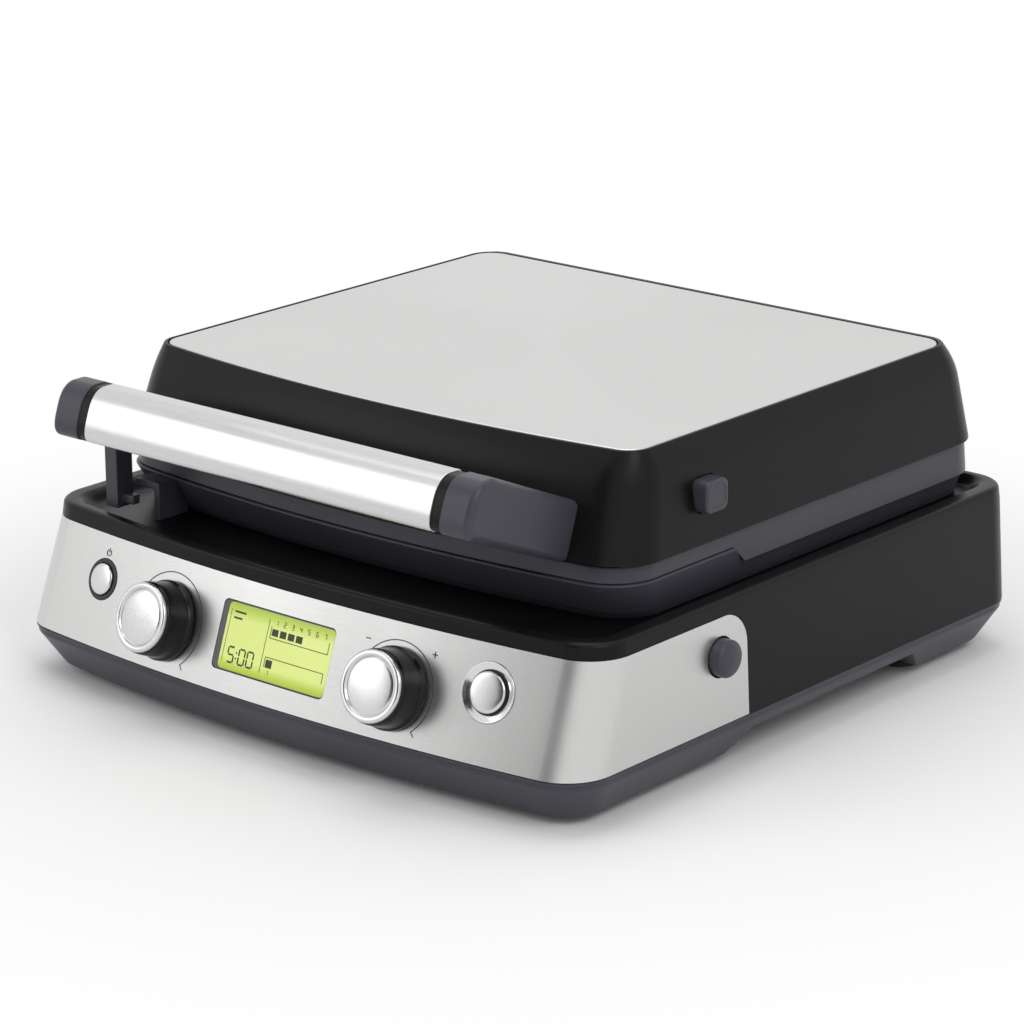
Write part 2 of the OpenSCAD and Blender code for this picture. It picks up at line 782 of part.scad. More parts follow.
module plate_latch(latch_y, axis_z, back_x) {
    translate([0, latch_y - latch_w / 2, 0]) {
        translate([riser_x, 0, axis_z - 3]) cube([back_x - riser_x, latch_w, 6]);
        translate([riser_x, 0, axis_z - 3]) cube([6, latch_w, latch_bar_z + latch_bar_t - axis_z + 3]);
        translate([latch_hook_x, 0, latch_bar_z]) cube([riser_x + 6 - latch_hook_x, latch_w, latch_bar_t]);
        translate([latch_hook_x, 0, latch_bar_z])
            cube([lug_t, latch_w, plate_bottom_z - 1.5 - latch_bar_z]);
        translate([latch_hook_x, 0, latch_nose_z])
            cube([lug_t + latch_nose, latch_w, plate_bottom_z - 1.5 - latch_nose_z]);
    }
}

// Outside of the base and of the lid at the height of each release button, and the seat of its flange inside
base_wall_x = base_half_w - side_draft * (release_z - band_z) / band_h;
lid_wall_x = lid_half_w - 7 * (lid_release_z - lid_z) / (lid_shoulder_z - lid_z);
release_flange = 2.5;
base_seat_x = base_wall_x - band_t - shell_wall - 1.2;
lid_seat_x = lid_wall_x - shell_wall - 2.8;

module lower_release_button() {
    inner = base_seat_x;
    color(dark_grey) translate([inner - release_flange, release_y, release_z]) rotate([0, 90, 0])
        rotate_extrude() polygon([
        [0, 0], [release_d / 2 + 2, 0], [release_d / 2 + 2, release_flange], [release_d / 2,
            release_flange],
        [release_d / 2, base_wall_x - inner + release_flange + release_stand - 3],
        [release_d / 2 - 2, base_wall_x - inner + release_flange + release_stand - 0.8],
        [0, base_wall_x - inner + release_flange + release_stand]
    ]);
}

module lower_plate_latch() {
    color(steel) plate_latch(release_y, release_z, base_seat_x - release_flange);
}

spring_turns = 4;
spring_wire = 1;
spring_r = 7;

// Coil of round wire from x0 to x1 about the X axis
module spring(x0, x1) {
    n = spring_turns * 12;
    rings = [for (i = [0:n]) let (t = 360 * spring_turns * i / n, x = x0 + (x1 - x0) * i / n)
        for (k = [0:5]) let (u = 60 * k, rr = spring_r + spring_wire / 2 * cos(u))
            [x + spring_wire / 2 * sin(u), rr * cos(t), rr * sin(t)]];
    polyhedron(rings, concat(
        [[for (k = [0:5]) k]], [[for (k = [5:-1:0]) n * 6 + k]],
        [for (i = [0:n - 1], k = [0:5]) let (a = i * 6 + k, b = i * 6 + (k + 1) % 6) [a, a + 6, b + 6, b]]
    ));
}

module lower_release_spring() {
    color(steel) translate([0, release_y, release_z])
        spring(riser_x + 7.5, base_seat_x - release_flange - 0.8);
}

// ---- Lid ----

lid_release_w = 18;
lid_release_h = 17;
top_plate_t = 1;

module lid_outer() {
    loft(out_lid_low, lid_z, out_lid_mid, lid_shoulder_z);
    loft(out_lid_mid, lid_shoulder_z - sliver, out_lid_top, lid_top_z);
}

module lid_cover() {
    color(black) difference() {
        lid_outer();
        loft(inset(out_lid_low, shell_wall), lid_z - 1, inset(out_lid_mid, shell_wall), lid_shoulder_z - 2);
        loft(inset(out_lid_mid, shell_wall), lid_shoulder_z - 2 - sliver, inset(out_lid_top,
            shell_wall + 2), lid_top_z - top_plate_t - shell_wall);
        prism(out_plate, lid_top_z - top_plate_t, lid_top_z + 1);
        translate([0, lid_release_y, lid_release_z]) rotate([0, 90, 0])
            rounded_block(lid_release_h + 2 * run_gap, lid_release_w + 2 * run_gap, big, 4.4);
    }
}

module lid_top_plate() {
    color(steel) prism(inset(out_plate, 0.1), lid_top_z - top_plate_t, lid_top_z);
}

module upper_surround() {
    color(dark_grey) {
        difference() {
            loft(out_rim, part_rear_z + part_gap, out_rim_top, lid_z);
            rear_cut = part_step_y + part_gap;
            translate([-big / 2, -big / 2, 0]) cube([big, big / 2 + rear_cut, part_front_z + part_gap]);
            prism(inset(out_rim_top, moat_wall + 1.5), 0, lid_z - moat_wall);
            tray_opening(ring_gap, 0, big);
        }
        surround_ring(ring_top_z + 3, lid_z);
    }
}

module upper_heater_tray() {
    color([0.6, 0.6, 0.58]) to_lid() tray(2 * mid_z - lid_z - tray_wall, lid_release_y);
}

module upper_heater() {
    color([0.35, 0.33, 0.32]) to_lid() heater();
}

module upper_plate() {
    color([0.16, 0.16, 0.17]) to_lid() waffle_plate(lid_release_y);
}

module upper_plate_rim() {
    color([0.16, 0.16, 0.17]) to_lid() plate_rim();
}

module upper_sensor() {
    color([0.75, 0.75, 0.7]) to_lid() sensor();
}

module lid_hinge_arms() {
    arm_front = surround_rear;
    color(dark_grey) for (s = [-1, 1], t = [-1, 1])
        translate([s * hinge_x + t * (bracket_w / 2 + run_gap + knuckle_w / 2), 0, 0]) difference() {
            union() {
                translate([-knuckle_w / 2, hinge_y, hinge_z]) rotate([0, 90, 0])
                    cylinder(r = hinge_r, h = knuckle_w);
                translate([-knuckle_w / 2, arm_front, hinge_z - 2.8])
                    cube([knuckle_w, hinge_y - arm_front, lid_z - 3 - hinge_z + 2.8]);
            }
            translate([-50, hinge_y, hinge_z]) rotate([0, 90, 0])
                cylinder(d = hinge_pin_d + 2 * pin_gap, h = 100);
        }
}

module upper_release_button() {
    inner = lid_seat_x;
    color(dark_grey) translate([0, lid_release_y, lid_release_z]) rotate([0, 90, 0]) {
        translate([0, 0, inner - release_flange])
            rounded_block(lid_release_h + 4, lid_release_w + 4, release_flange, 5);
        translate([0, 0, inner]) rounded_block(lid_release_h, lid_release_w,
            lid_wall_x + release_stand - 1 - inner, 4);
        translate([0, 0, lid_wall_x + release_stand - 1])
            rounded_block(lid_release_h - 2, lid_release_w - 2, 1, 3);
    }
}

module upper_plate_latch() {
    color(steel) to_lid() plate_latch(lid_release_y, 2 * mid_z - lid_release_z,
        lid_seat_x - release_flange);
}

module upper_release_spring() {
    color(steel) translate([0, lid_release_y, lid_release_z])
        spring(riser_x + 7.5, lid_seat_x - release_flange - 0.8);
}

module lid_screws() {
    color(steel) for (x = [-1, 1], y = [-1, 1])
        translate([x * (tray_w2 + 3), plates_y + y * 60, lid_z + tray_wall]) {
        cylinder(d = 5, h = 2);
    }
}

// ---- Handle ----

sleeve_t = 1;

// Side view of the bar: a leaning rounded block
module bar_profile(t) {
    r = 6;
    hull() for (u = [0, 1], z = [handle_z0 + r, handle_z1 - r])
        translate([handle_y(z) + r + u * (handle_depth - 2 * r), z]) circle(r = r - t, $fn = 32);
}

function handle_y(z) = -handle_front - handle_lean * (handle_z1 - z) / (handle_z1 - handle_z0);

module bar(half, t) {
    rotate([90, 0, 90]) linear_extrude(2 * half, center = true) bar_profile(t);
}

arm_root_y = -(lid_front - 26);

module arms() {
    for (s = [-1, 1]) translate([s * (handle_half - arm_w / 2), 0, 0]) rotate([90, 0, 90])
        linear_extrude(arm_w, center = true) polygon([
        [handle_y(handle_z1) + handle_depth / 2, handle_z1 - 2], [arm_root_y, handle_z1 - arm_drop - 1],
        [arm_root_y, handle_z0 - arm_drop - 7], [handle_y(handle_z0) + handle_depth / 2, handle_z0 + 1]
    ]);
}

module handle_frame() {
    color(dark_grey) difference() {
        union() {
            bar(handle_half - 2, sleeve_t);
            arms();
        }
        lid_outer();
        translate([0, 0, -2]) prism(inset(out_lid_low, -0.3), lid_z - 10, lid_z + 2.1);
        translate([lock_x, lock_y, lock_pivot_z]) rotate([0, 90, 0]) cylinder(d = lock_pin_d, h = 20);
    }
}

module handle_sleeve() {
    color(steel) difference() {
        bar(sleeve_half, 0);
        bar(sleeve_half + 1, sleeve_t);
        arms();
    }
}

module handle_end_caps() {
    color(dark_grey) difference() {
        bar(handle_half, 0);
        bar(handle_half - 2, sleeve_t);
        cube([2 * sleeve_half, big, big], center = true);
        arms();
    }
}

lock_foot_z = lip_z + 0.5;
lock_h = lock_pivot_z - lock_foot_z;
lock_d = 12;
tooth_z = 97;

module lock_lever() {
    color(dark_grey) translate([lock_x, lock_y, 0]) difference() {
        union() {
            translate([-lock_w / 2, -lock_d / 2, lock_foot_z]) cube([lock_w, lock_d, lock_h]);
            translate([-lock_w / 2, 0, lock_pivot_z]) rotate([0, 90, 0]) cylinder(d = lock_d, h = lock_w);
            translate([lock_w / 2, -2, tooth_z]) cube([8, 5, 5]);
        }
        translate([-lock_w, 0, lock_pivot_z]) rotate([0, 90, 0])
            cylinder(d = lock_pin_d + 2 * pin_gap, h = 2 * lock_w);
    }
}

module lock_pin() {
    color(steel) translate([lock_x - lock_w / 2 - 1, lock_y, lock_pivot_z]) rotate([0, 90, 0]) {
        cylinder(d = lock_pin_d, h = lock_w + 12);
        translate([0, 0, -1]) cylinder(d = lock_pin_d + 3, h = 1);
    }
}

module lock_catch() {
    catch_x = lock_x + lock_w / 2 + 0.6;
    color(dark_grey) difference() {
        translate([catch_x, lock_y + 7, deck_z]) {
            translate([0, 0, tooth_z + 8 - deck_z]) cube([18, 22, 4]);
            translate([14, 0, 0]) cube([4, 22, tooth_z + 12 - deck_z]);
        }
        loft(inset(out_rim_low, -0.05), rim_z - 1, inset(out_rim, -0.05), part_front_z);
    }
}

bottom_shell();
rubber_feet();
base_housing();
steel_band();
lower_surround();
lower_heater_tray();
lower_heater();
lower_plate();
lower_plate_rim();
lower_sensor();
hinge_brackets();
hinge_pins();
cord_gland();
base_screws();
control_board();
lcd_module();
display_lens();
display_bezel();
left_encoder();
right_encoder();
button_rings();
button_switches();
power_board();
relay();
lock_catch();
lower_release_spring();
left_knob();
left_knob_cap();
right_knob();
right_knob_cap();
start_button();
texture_button();
lower_release_button();
lower_plate_latch();
lid_cover();
lid_top_plate();
upper_surround();
upper_heater_tray();
upper_heater();
upper_plate();
upper_plate_rim();
upper_sensor();
lid_hinge_arms();
handle_frame();
handle_sleeve();
handle_end_caps();
lid_screws();
upper_release_button();
upper_plate_latch();
upper_release_spring();
lock_lever();
lock_pin();
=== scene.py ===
"""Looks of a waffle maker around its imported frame.

Sizes are in millimetres until a mesh is made. Lamps are placed in metres.
"""

import math

import bmesh
import bpy
from mathutils import Matrix, Vector

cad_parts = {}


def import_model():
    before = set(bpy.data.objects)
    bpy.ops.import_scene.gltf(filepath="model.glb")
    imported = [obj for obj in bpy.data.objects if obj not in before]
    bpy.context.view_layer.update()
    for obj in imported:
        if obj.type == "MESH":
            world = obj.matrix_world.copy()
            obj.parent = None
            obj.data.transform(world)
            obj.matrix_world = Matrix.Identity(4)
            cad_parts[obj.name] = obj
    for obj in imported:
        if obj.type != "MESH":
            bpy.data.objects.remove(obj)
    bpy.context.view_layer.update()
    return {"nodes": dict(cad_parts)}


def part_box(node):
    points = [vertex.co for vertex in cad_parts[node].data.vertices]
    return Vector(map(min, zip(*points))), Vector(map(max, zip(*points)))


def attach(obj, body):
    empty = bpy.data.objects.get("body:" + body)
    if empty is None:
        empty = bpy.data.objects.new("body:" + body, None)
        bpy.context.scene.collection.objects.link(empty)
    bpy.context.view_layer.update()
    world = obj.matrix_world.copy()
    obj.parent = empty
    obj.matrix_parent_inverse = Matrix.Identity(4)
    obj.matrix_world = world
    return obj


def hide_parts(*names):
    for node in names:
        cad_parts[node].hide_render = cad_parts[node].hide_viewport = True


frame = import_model()

MM = 0.001
AXIS = 0.01  # inner radius of a turned solid, so that its ends close
MERGE = 1e-6  # metres between points that count as one
FAR = 400  # beyond the object on any side


def mm_box(node):
    """Lowest and highest corner of a CAD node in millimetres."""
    low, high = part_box(node)
    return low / MM, high / MM


# ---- Sizes taken from the frame ----

shell_low, shell_high = mm_box("bottom_shell")
lid_low, lid_high = mm_box("lid_cover")
top_low, top_high = mm_box("lid_top_plate")
bar_low, bar_high = mm_box("handle_sleeve")
tray_low, tray_high = mm_box("lower_heater_tray")
band_high = mm_box("steel_band")[1]
rim_high = mm_box("lower_surround")[1]
cap_high = mm_box("handle_end_caps")[1]

# Base: the band is the steel fascia, and the lip is the crest of the housing round its deck
BASE_HALF = shell_high.x
BASE_FRONT = -shell_low.y
BASE_REAR = shell_high.y
SKIRT_Z = shell_low.z
BAND_Z0 = shell_high.z
BAND_Z1 = band_high.z
BAND_REAR = band_high.y
BAND_CORNER = 18
BAND_T = 1.2
DECK_Z = BAND_Z1 + 2.5
LIP_Z = BAND_Z1 + 8.5
LIP_R = 2.5
BASE_WALL = 4.2
FOOT_R = 12
HINGE_X = 106

# Side view of the gap between the front and rear legs, as (y, z) points
LEG_GAP = [(-44, 18), (99, 18), (115, SKIRT_Z), (116, 0), (-61, 0), (-60, SKIRT_Z)]

# The panel bows forwards across its width and leans back over its height
BOW = 14.5
LEAN = 20.5
BOW_R = (BASE_HALF**2 + BOW**2) / (2 * BOW)
SLANT = math.atan(LEAN / (BAND_Z1 - BAND_Z0))

# Lid, and the opening for the steel plate in its top
LID_HALF = lid_high.x
LID_FRONT = -lid_low.y
LID_REAR = lid_high.y
LID_Z = lid_low.z
LID_TOP = lid_high.z
LID_SHOULDER_Z = LID_TOP - 11
LID_BOW = 14
PLATE_FIT = 0.1
PLATE_HALF = top_high.x + PLATE_FIT
PLATE_FRONT = PLATE_FIT - top_low.y
PLATE_REAR = top_high.y + PLATE_FIT

# The parting line between the surrounds, which steps down towards the rear
PART_FRONT_Z = rim_high.z
PART_REAR_Z = PART_FRONT_Z - 9.5
PART_STEP_Y = -37
PART_GAP = 0.3

# Heater trays
TRAY_HALF_X = 145
TRAY_HALF_Y = 135
TRAY_Y = (tray_low.y + tray_high.y) / 2

# Outlines: half width, front, bow of the front, front corner radius, rear, rear corner radius
LOW = (BASE_HALF, BASE_FRONT, BOW, 27, BASE_REAR, 25)
HIGH = (BASE_HALF - 3, BASE_FRONT - LEAN, BOW, 25, BASE_REAR - 2, 24)
SKIRT = (BASE_HALF - 11.5, BASE_FRONT - 11.3, BOW, 22, BASE_REAR - 11, 20)
DISH_HIGH = (BASE_HALF - 12, BASE_FRONT - 27, BOW, 18, BASE_REAR - 8.4, 18)
DISH_LOW = (BASE_HALF - 23, BASE_FRONT - 33, BOW, 14, BASE_REAR - 13, 14)
LID_LOW = (LID_HALF, LID_FRONT, LID_BOW, 30, LID_REAR, 26)
LID_MID = (LID_HALF - 7, LID_FRONT - 14, LID_BOW, 26, LID_REAR - 6, 24)
LID_HIGH = (PLATE_HALF + 2, PLATE_FRONT + 2, LID_BOW, 14, PLATE_REAR + 3, 16)
TOP_PLATE = (PLATE_HALF, PLATE_FRONT, LID_BOW, 12, PLATE_REAR, 14)
RIM_LOW = (LID_HALF - 8, LID_FRONT - 14, LID_BOW, 26, LID_REAR - 2, 24)
RIM = (LID_HALF - 2.5, LID_FRONT - 1, LID_BOW, 28, LID_REAR + 2, 26)
RIM_TOP = (LID_HALF - 4, LID_FRONT - 4, LID_BOW, 27, LID_REAR + 2, 26)
FRONT_STEPS = 28  # points along each half of a bowed front
CORNER_STEPS = 12

# Controls on the panel
KNOB_X = 80
KNOB_Z = 54
BUTTON_X = 136
BUTTON_Z = 63
START_HOLE_R = 11.5
TEXTURE_HOLE_R = 15.5
LCD_Z = 57
LCD_W = 75
LCD_H = 37
LCD_STRIP = 4  # the grey strip left of the display
PANEL_CUT = (-12, 8)  # from behind the panel to ahead of it
SCALE_START = 150  # degrees
SCALE_END = -50

# Raised marks on the panel and the display
MARK_STEP = 2.5
MARK_DEPTH = 0.25
LCD_LIFT = 0.12
PRINT_LIFT = 0.08
SMALL_DIGIT = (2.6, 0.42)  # height and weight
LARGE_DIGIT = (8, 0.95)
DIGIT_STROKES = {0: "abcdef", 1: "bc", 2: "abged", 3: "abgcd", 4: "fgbc", 5: "afgcd", 6: "afgedc", 7: "abc"}

# Release buttons and cord gland
RELEASE_Y = -76
RELEASE_Z = 65
RELEASE_HOLE_R = 10.9
LID_RELEASE_Y = -65
LID_RELEASE_Z = 144.5
GLAND_X = -120
GLAND_Z = 50
GLAND_HOLE_R = 8.1

# Handle
HANDLE_FRONT = 203
HANDLE_LEAN = 10
HANDLE_DEPTH = 20
HANDLE_R = 6
HANDLE_Z0 = bar_low.z
HANDLE_Z1 = bar_high.z
SLEEVE_HALF = bar_high.x
HANDLE_HALF = cap_high.x
COLLAR_W = 6
FRONT_BULGE = 8
FRONT_POWER = 3.2
FRONT_POINTS = 24
END_R = 4
ARM_W = 42
ARM_ROOT_Y = -(LID_FRONT - 26)
ARM_FOOT = 35  # below the bottom of the bar, at the root
ARM_TOP = 29  # below the top of the bar, at the root
ARM_POINTS = 26


# ---- Outlines and meshes ----


def arc(cx, cy, r, start, end, steps):
    """Points of an arc, both ends included."""
    turns = [start + (end - start) * i / steps for i in range(steps + 1)]
    return [(cx + r * math.cos(t), cy + r * math.sin(t)) for t in turns]


def quarter(steps):
    """Angles from nothing to a right angle."""
    return [math.pi / 2 * i / steps for i in range(steps + 1)]


def shares(steps):
    """Even steps from 0 to 1."""
    return [i / steps for i in range(steps + 1)]


def bowed(outline):
    """Points of an outline, counter-clockwise from the middle of its bowed front."""
    half, front, bow, corner, rear, rear_corner = outline
    r = (half * half + bow * bow) / (2 * bow)
    cy = r - front
    corner_x = half - corner
    corner_y = cy - math.sqrt((r - corner) ** 2 - corner_x * corner_x)
    meet = math.atan2(corner_y - cy, corner_x)
    right = arc(0, cy, r, -math.pi / 2, meet, FRONT_STEPS)
    right += arc(corner_x, corner_y, corner, meet, 0, CORNER_STEPS)[1:]
    right += arc(half - rear_corner, rear - rear_corner, rear_corner, 0, math.pi / 2, CORNER_STEPS)
    left = [(-x, y) for x, y in reversed(right[1:])]
    return right + left


def inset(outline, t):
    """An outline drawn in by t, or grown where t is negative."""
    half, front, bow, corner, rear, rear_corner = outline
    return (half - t, front - t, bow, max(corner - t, 0.5), rear - t, max(rear_corner - t, 0.5))


def between(p, q, k):
    """What lies a share k of the way from one outline to another."""
    return tuple(u + (v - u) * k for u, v in zip(p, q))


def base_at(z):
    """The outline of the base's wall at a height of the band."""
    return between(LOW, HIGH, (z - BAND_Z0) / (BAND_Z1 - BAND_Z0))


def square_outline(half_x, half_y, r):
    """A rounded rectangle about the middle of the heater trays, as an outline."""
    return (half_x, half_y - TRAY_Y, 0.2, r, half_y + TRAY_Y, r)


def rounding(outline, z, r):
    """Levels that round a top edge: the wall ends at z, and the flat lies r above it."""
    return [(inset(outline, r * (1 - math.cos(t))), z + r * math.sin(t)) for t in quarter(5)]



def new_object(name, points, faces):
    mesh = bpy.data.meshes.new(name)
    mesh.from_pydata([[c * MM for c in p] for p in points], [], faces)
    mesh.update()
    obj = bpy.data.objects.new(name, mesh)
    bpy.context.scene.collection.objects.link(obj)
    return obj


def tidy_mesh(obj):
    """Merges doubled points and turns all faces outwards."""
    bm = bmesh.new()
    bm.from_mesh(obj.data)
    bmesh.ops.remove_doubles(bm, verts=bm.verts, dist=MERGE)
    bmesh.ops.recalc_face_normals(bm, faces=bm.faces)
    bm.to_mesh(obj.data)
    bm.free()
    return obj


def loft(name, rings, closed=False):
    """A solid through rings of points with equal counts: closed joins the last ring to the first."""
    n = len(rings[0])
    points = [p for ring in rings for p in ring]
    faces = []
    for k in range(len(rings) if closed else len(rings) - 1):
        lower = k * n
        upper = (k + 1) % len(rings) * n
        for i in range(n):
            j = (i + 1) % n
            faces.append((lower + i, lower + j, upper + j, upper + i))
    if not closed:
        faces.append(tuple(range(n))[::-1])
        faces.append(tuple(range((len(rings) - 1) * n, len(rings) * n)))
    return tidy_mesh(new_object(name, points, faces))


def stack(name, levels, closed=False):
    """A loft through outlines at heights."""
    return loft(name, [[(x, y, z) for x, y in bowed(o)] for o, z in levels], closed)


def lathe(name, profile, place, steps=72, closed=False):
    """A turned solid about the local Z axis of place, from (radius, height) points."""
    rings = []
    for r, z in profile:
        turns = [2 * math.pi * i / steps for i in range(steps)]
        rings.append([place @ Vector((r * math.cos(t), r * math.sin(t), z)) for t in turns])
    return loft(name, rings, closed)


def side_prism(name, profile):
    """A solid from (y, z) points, drawn out sideways past the object."""
    return loft(name, [[(x, y, z) for y, z in profile] for x in (-FAR, FAR)])


def apply_modifiers(obj):
    """Makes the shape that an object's modifiers give its mesh."""
    bpy.context.view_layer.update()
    shaped = obj.evaluated_get(bpy.context.evaluated_depsgraph_get())
    mesh = bpy.data.meshes.new_from_object(shaped)
    obj.modifiers.clear()
    obj.data = mesh
    return obj


def cut(obj, tool, how="DIFFERENCE"):
    """Applies a boolean with a tool, which is then removed."""
    change = obj.modifiers.new("cut", "BOOLEAN")
    change.operation = how
    change.object = tool
    change.solver = "EXACT"
    apply_modifiers(obj)
    bpy.data.objects.remove(tool)
    return obj


def ease(obj, width, segments=2, angle=35):
    """Rounds the edges that turn by more than an angle."""
    change = obj.modifiers.new("ease", "BEVEL")
    change.width = width * MM
    change.segments = segments
    change.limit_method = "ANGLE"
    change.angle_limit = math.radians(angle)
    change.harden_normals = False
    return apply_modifiers(obj)


def smooth(obj, angle=40):
    """Smooth shading that keeps sharp edges, with flat faces left flat."""
    obj.data.shade_smooth()
    obj.data.set_sharp_from_angle(angle=math.radians(angle))
    change = obj.modifiers.new("weights", "WEIGHTED_NORMAL")
    change.keep_sharp = True
    change.weight = 90
    return apply_modifiers(obj)


def piece(obj, material, body, slot, *nodes):
    """Finishes a piece: its material, the body it rides on, and the CAD nodes it stands for."""
    obj.data.materials.clear()
    obj.data.materials.append(material)
    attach(obj, body)
    if nodes:
        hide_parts(*nodes)
    return obj


def dress(node, material):
    """Gives a CAD node that stays its finish."""
    mesh = frame["nodes"][node].data
    mesh.materials.clear()
    mesh.materials.append(material)


def eased_node(node, width, segments=2):
    """A copy of a CAD node with its edges rounded."""
    mesh = frame["nodes"][node].data.copy()
    obj = bpy.data.objects.new(node + "_eased", mesh)
    bpy.context.scene.collection.objects.link(obj)
    bm = bmesh.new()
    bm.from_mesh(mesh)
    bmesh.ops.remove_doubles(bm, verts=bm.verts, dist=MERGE)
    bmesh.ops.dissolve_limit(bm, angle_limit=math.radians(0.3), verts=bm.verts, edges=bm.edges)
    bm.to_mesh(mesh)
    bm.free()
    ease(obj, width, segments)
    return smooth(obj)


def cylinder_tool(place, r, z0, z1):
    """A round cutter along the local Z axis of place."""
    return lathe("tool", [(r, z0), (r, z1)], place, 64)


# ---- The panel ----


def panel_y(x, z):
    """How far back the panel's surface lies."""
    return BOW_R - math.sqrt(BOW_R**2 - x * x) - BASE_FRONT + LEAN * (z - BAND_Z0) / (BAND_Z1 - BAND_Z0)


def panel_frame(x, z):
    """A place on the panel: local Z points out of it, Y up along it."""
    turn = Matrix.Rotation(math.asin(x / BOW_R), 4, "Z") @ Matrix.Rotation(math.pi / 2 - SLANT, 4, "X")
    return Matrix.Translation((x, panel_y(x, z), z)) @ turn


def sag(u):
    """How far the bowed panel falls away behind a flat one."""
    return (BOW_R - math.sqrt(BOW_R**2 - u * u)) * math.cos(SLANT)


def side_frame(y, z):
    """A place on the right side: local Z points along +X."""
    return Matrix.Translation((0, y, z)) @ Matrix.Rotation(math.pi / 2, 4, "Y")


def back_frame(x, z):
    """A place on the rear: local Z points along +Y."""
    return Matrix.Translation((x, 0, z)) @ Matrix.Rotation(-math.pi / 2, 4, "X")


def rounded_rect(w, h, r):
    """Points of a rounded rectangle about its middle."""
    points = []
    for cx, cy, start in ((1, 1, 0), (-1, 1, 1), (-1, -1, 2), (1, -1, 3)):
        t = start * math.pi / 2
        points += arc(cx * (w / 2 - r), cy * (h / 2 - r), r, t, t + math.pi / 2, 6)
    return points


def bowed_plate(name, w, h, r, z0, z1, shift=0):
    """A rounded plate that follows the bow of the panel, in the frame of the display."""
    place = panel_frame(0, LCD_Z)
    edge = 0.3
    straight = w / 2 - r
    columns = 24
    rights = [straight * i / columns for i in range(columns)]
    rights += sorted({round(straight + r * math.sin(t), 4) for t in quarter(6)})
    across = [-x for x in reversed(rights[1:])] + rights
    rings = []
    for x in across:
        over = max(0.0, abs(x) - straight)
        half = h / 2 - r + math.sqrt(max(r * r - over * over, 0.0))
        rim = z1 - edge
        section = ((-half, z0), (half, z0), (half, rim), (half - edge, z1), (edge - half, z1), (-half, rim))
        rings.append([place @ Vector((x + shift, y, z - sag(x + shift))) for y, z in section])
    return loft(name, rings)


def resampled(points):
    """The same line in short steps, so that it can follow the bow."""
    made = [points[0]]
    for (x0, y0), (x1, y1) in zip(points, points[1:]):
        count = max(1, math.ceil(math.hypot(x1 - x0, y1 - y0) / MARK_STEP))
        made += [(x0 + (x1 - x0) * i / count, y0 + (y1 - y0) * i / count) for i in range(1, count + 1)]
    return made


def ribbon(line, width, lift):
    """A raised line along flat points: its left point, right point and height at each step."""
    points = resampled(line)
    made = []
    for i, (x, y) in enumerate(points):
        before = points[max(i - 1, 0)]
        after = points[min(i + 1, len(points) - 1)]
        dx = after[0] - before[0]
        dy = after[1] - before[1]
        size = math.hypot(dx, dy)
        nx = -dy / size * width / 2
        ny = dx / size * width / 2
        made.append(((x + nx, y + ny), (x - nx, y - ny), lift))
    return made


def marks(name, lines, place):
    """One mesh of raised lines on the bowed panel, sunk into it by MARK_DEPTH."""
    points = []
    faces = []
    for line in lines:
        first = len(points)
        for left, right, lift in line:
            for (x, y), z in ((left, lift), (right, lift), (right, -MARK_DEPTH), (left, -MARK_DEPTH)):
                points.append(place @ Vector((x, y, z - sag(x))))
        last = first + 4 * (len(line) - 1)
        for a in range(first, last, 4):
            for k in range(4):
                j = (k + 1) % 4
                faces.append((a + k, a + j, a + 4 + j, a + 4 + k))
        faces.append((first, first + 3, first + 2, first + 1))
        faces.append((last, last + 1, last + 2, last + 3))
    return tidy_mesh(new_object(name, points, faces))


# ---- Materials ----


def material(name, colour, roughness, metallic=0.0):
    """A new material, its node tree and its shader."""
    made = bpy.data.materials.new(name)
    made.use_nodes = True
    shader = made.node_tree.nodes["Principled BSDF"]
    shader.inputs["Base Color"].default_value = (*colour, 1)
    shader.inputs["Roughness"].default_value = roughness
    shader.inputs["Metallic"].default_value = metallic
    return made, made.node_tree, shader


def noise(tree, scale, stretch=(1, 1, 1), detail=3):
    """Noise in the piece's own space: scale is in cells per metre."""
    place = tree.nodes.new("ShaderNodeTexCoord")
    mapping = tree.nodes.new("ShaderNodeMapping")
    mapping.inputs["Scale"].default_value = stretch
    made = tree.nodes.new("ShaderNodeTexNoise")
    made.inputs["Scale"].default_value = scale
    made.inputs["Detail"].default_value = detail
    tree.links.new(place.outputs["Object"], mapping.inputs["Vector"])
    tree.links.new(mapping.outputs["Vector"], made.inputs["Vector"])
    return made.outputs["Fac"]


def ramp(tree, value, stops):
    """A colour ramp through (place, colour) stops."""
    made = tree.nodes.new("ShaderNodeValToRGB")
    points = made.color_ramp.elements
    while len(points) < len(stops):
        points.new(0.5)
    for point, (place, colour) in zip(points, stops):
        point.position = place
        point.color = (*colour, 1)
    tree.links.new(value, made.inputs["Fac"])
    return made.outputs["Color"]


def greys(tree, value, low, high):
    """A ramp between two levels, for roughness or a grey."""
    return ramp(tree, value, [(0.3, (low, low, low)), (0.7, (high, high, high))])


def bump(tree, shader, height, strength, depth):
    """Fine relief of a depth in millimetres."""
    made = tree.nodes.new("ShaderNodeBump")
    made.inputs["Strength"].default_value = strength
    made.inputs["Distance"].default_value = depth * MM
    tree.links.new(height, made.inputs["Height"])
    tree.links.new(made.outputs["Normal"], shader.inputs["Normal"])


def tinted(colour, k):
    """A colour made darker or lighter by a factor."""
    return tuple(min(c * k, 1) for c in colour)


def mottle(tree, shader, value, colour, dark, pale, edge=0.3):
    """Lets the base colour vary between two shades of a colour."""
    tint = ramp(tree, value, [(edge, tinted(colour, dark)), (1 - edge, tinted(colour, pale))])
    tree.links.new(tint, shader.inputs["Base Color"])


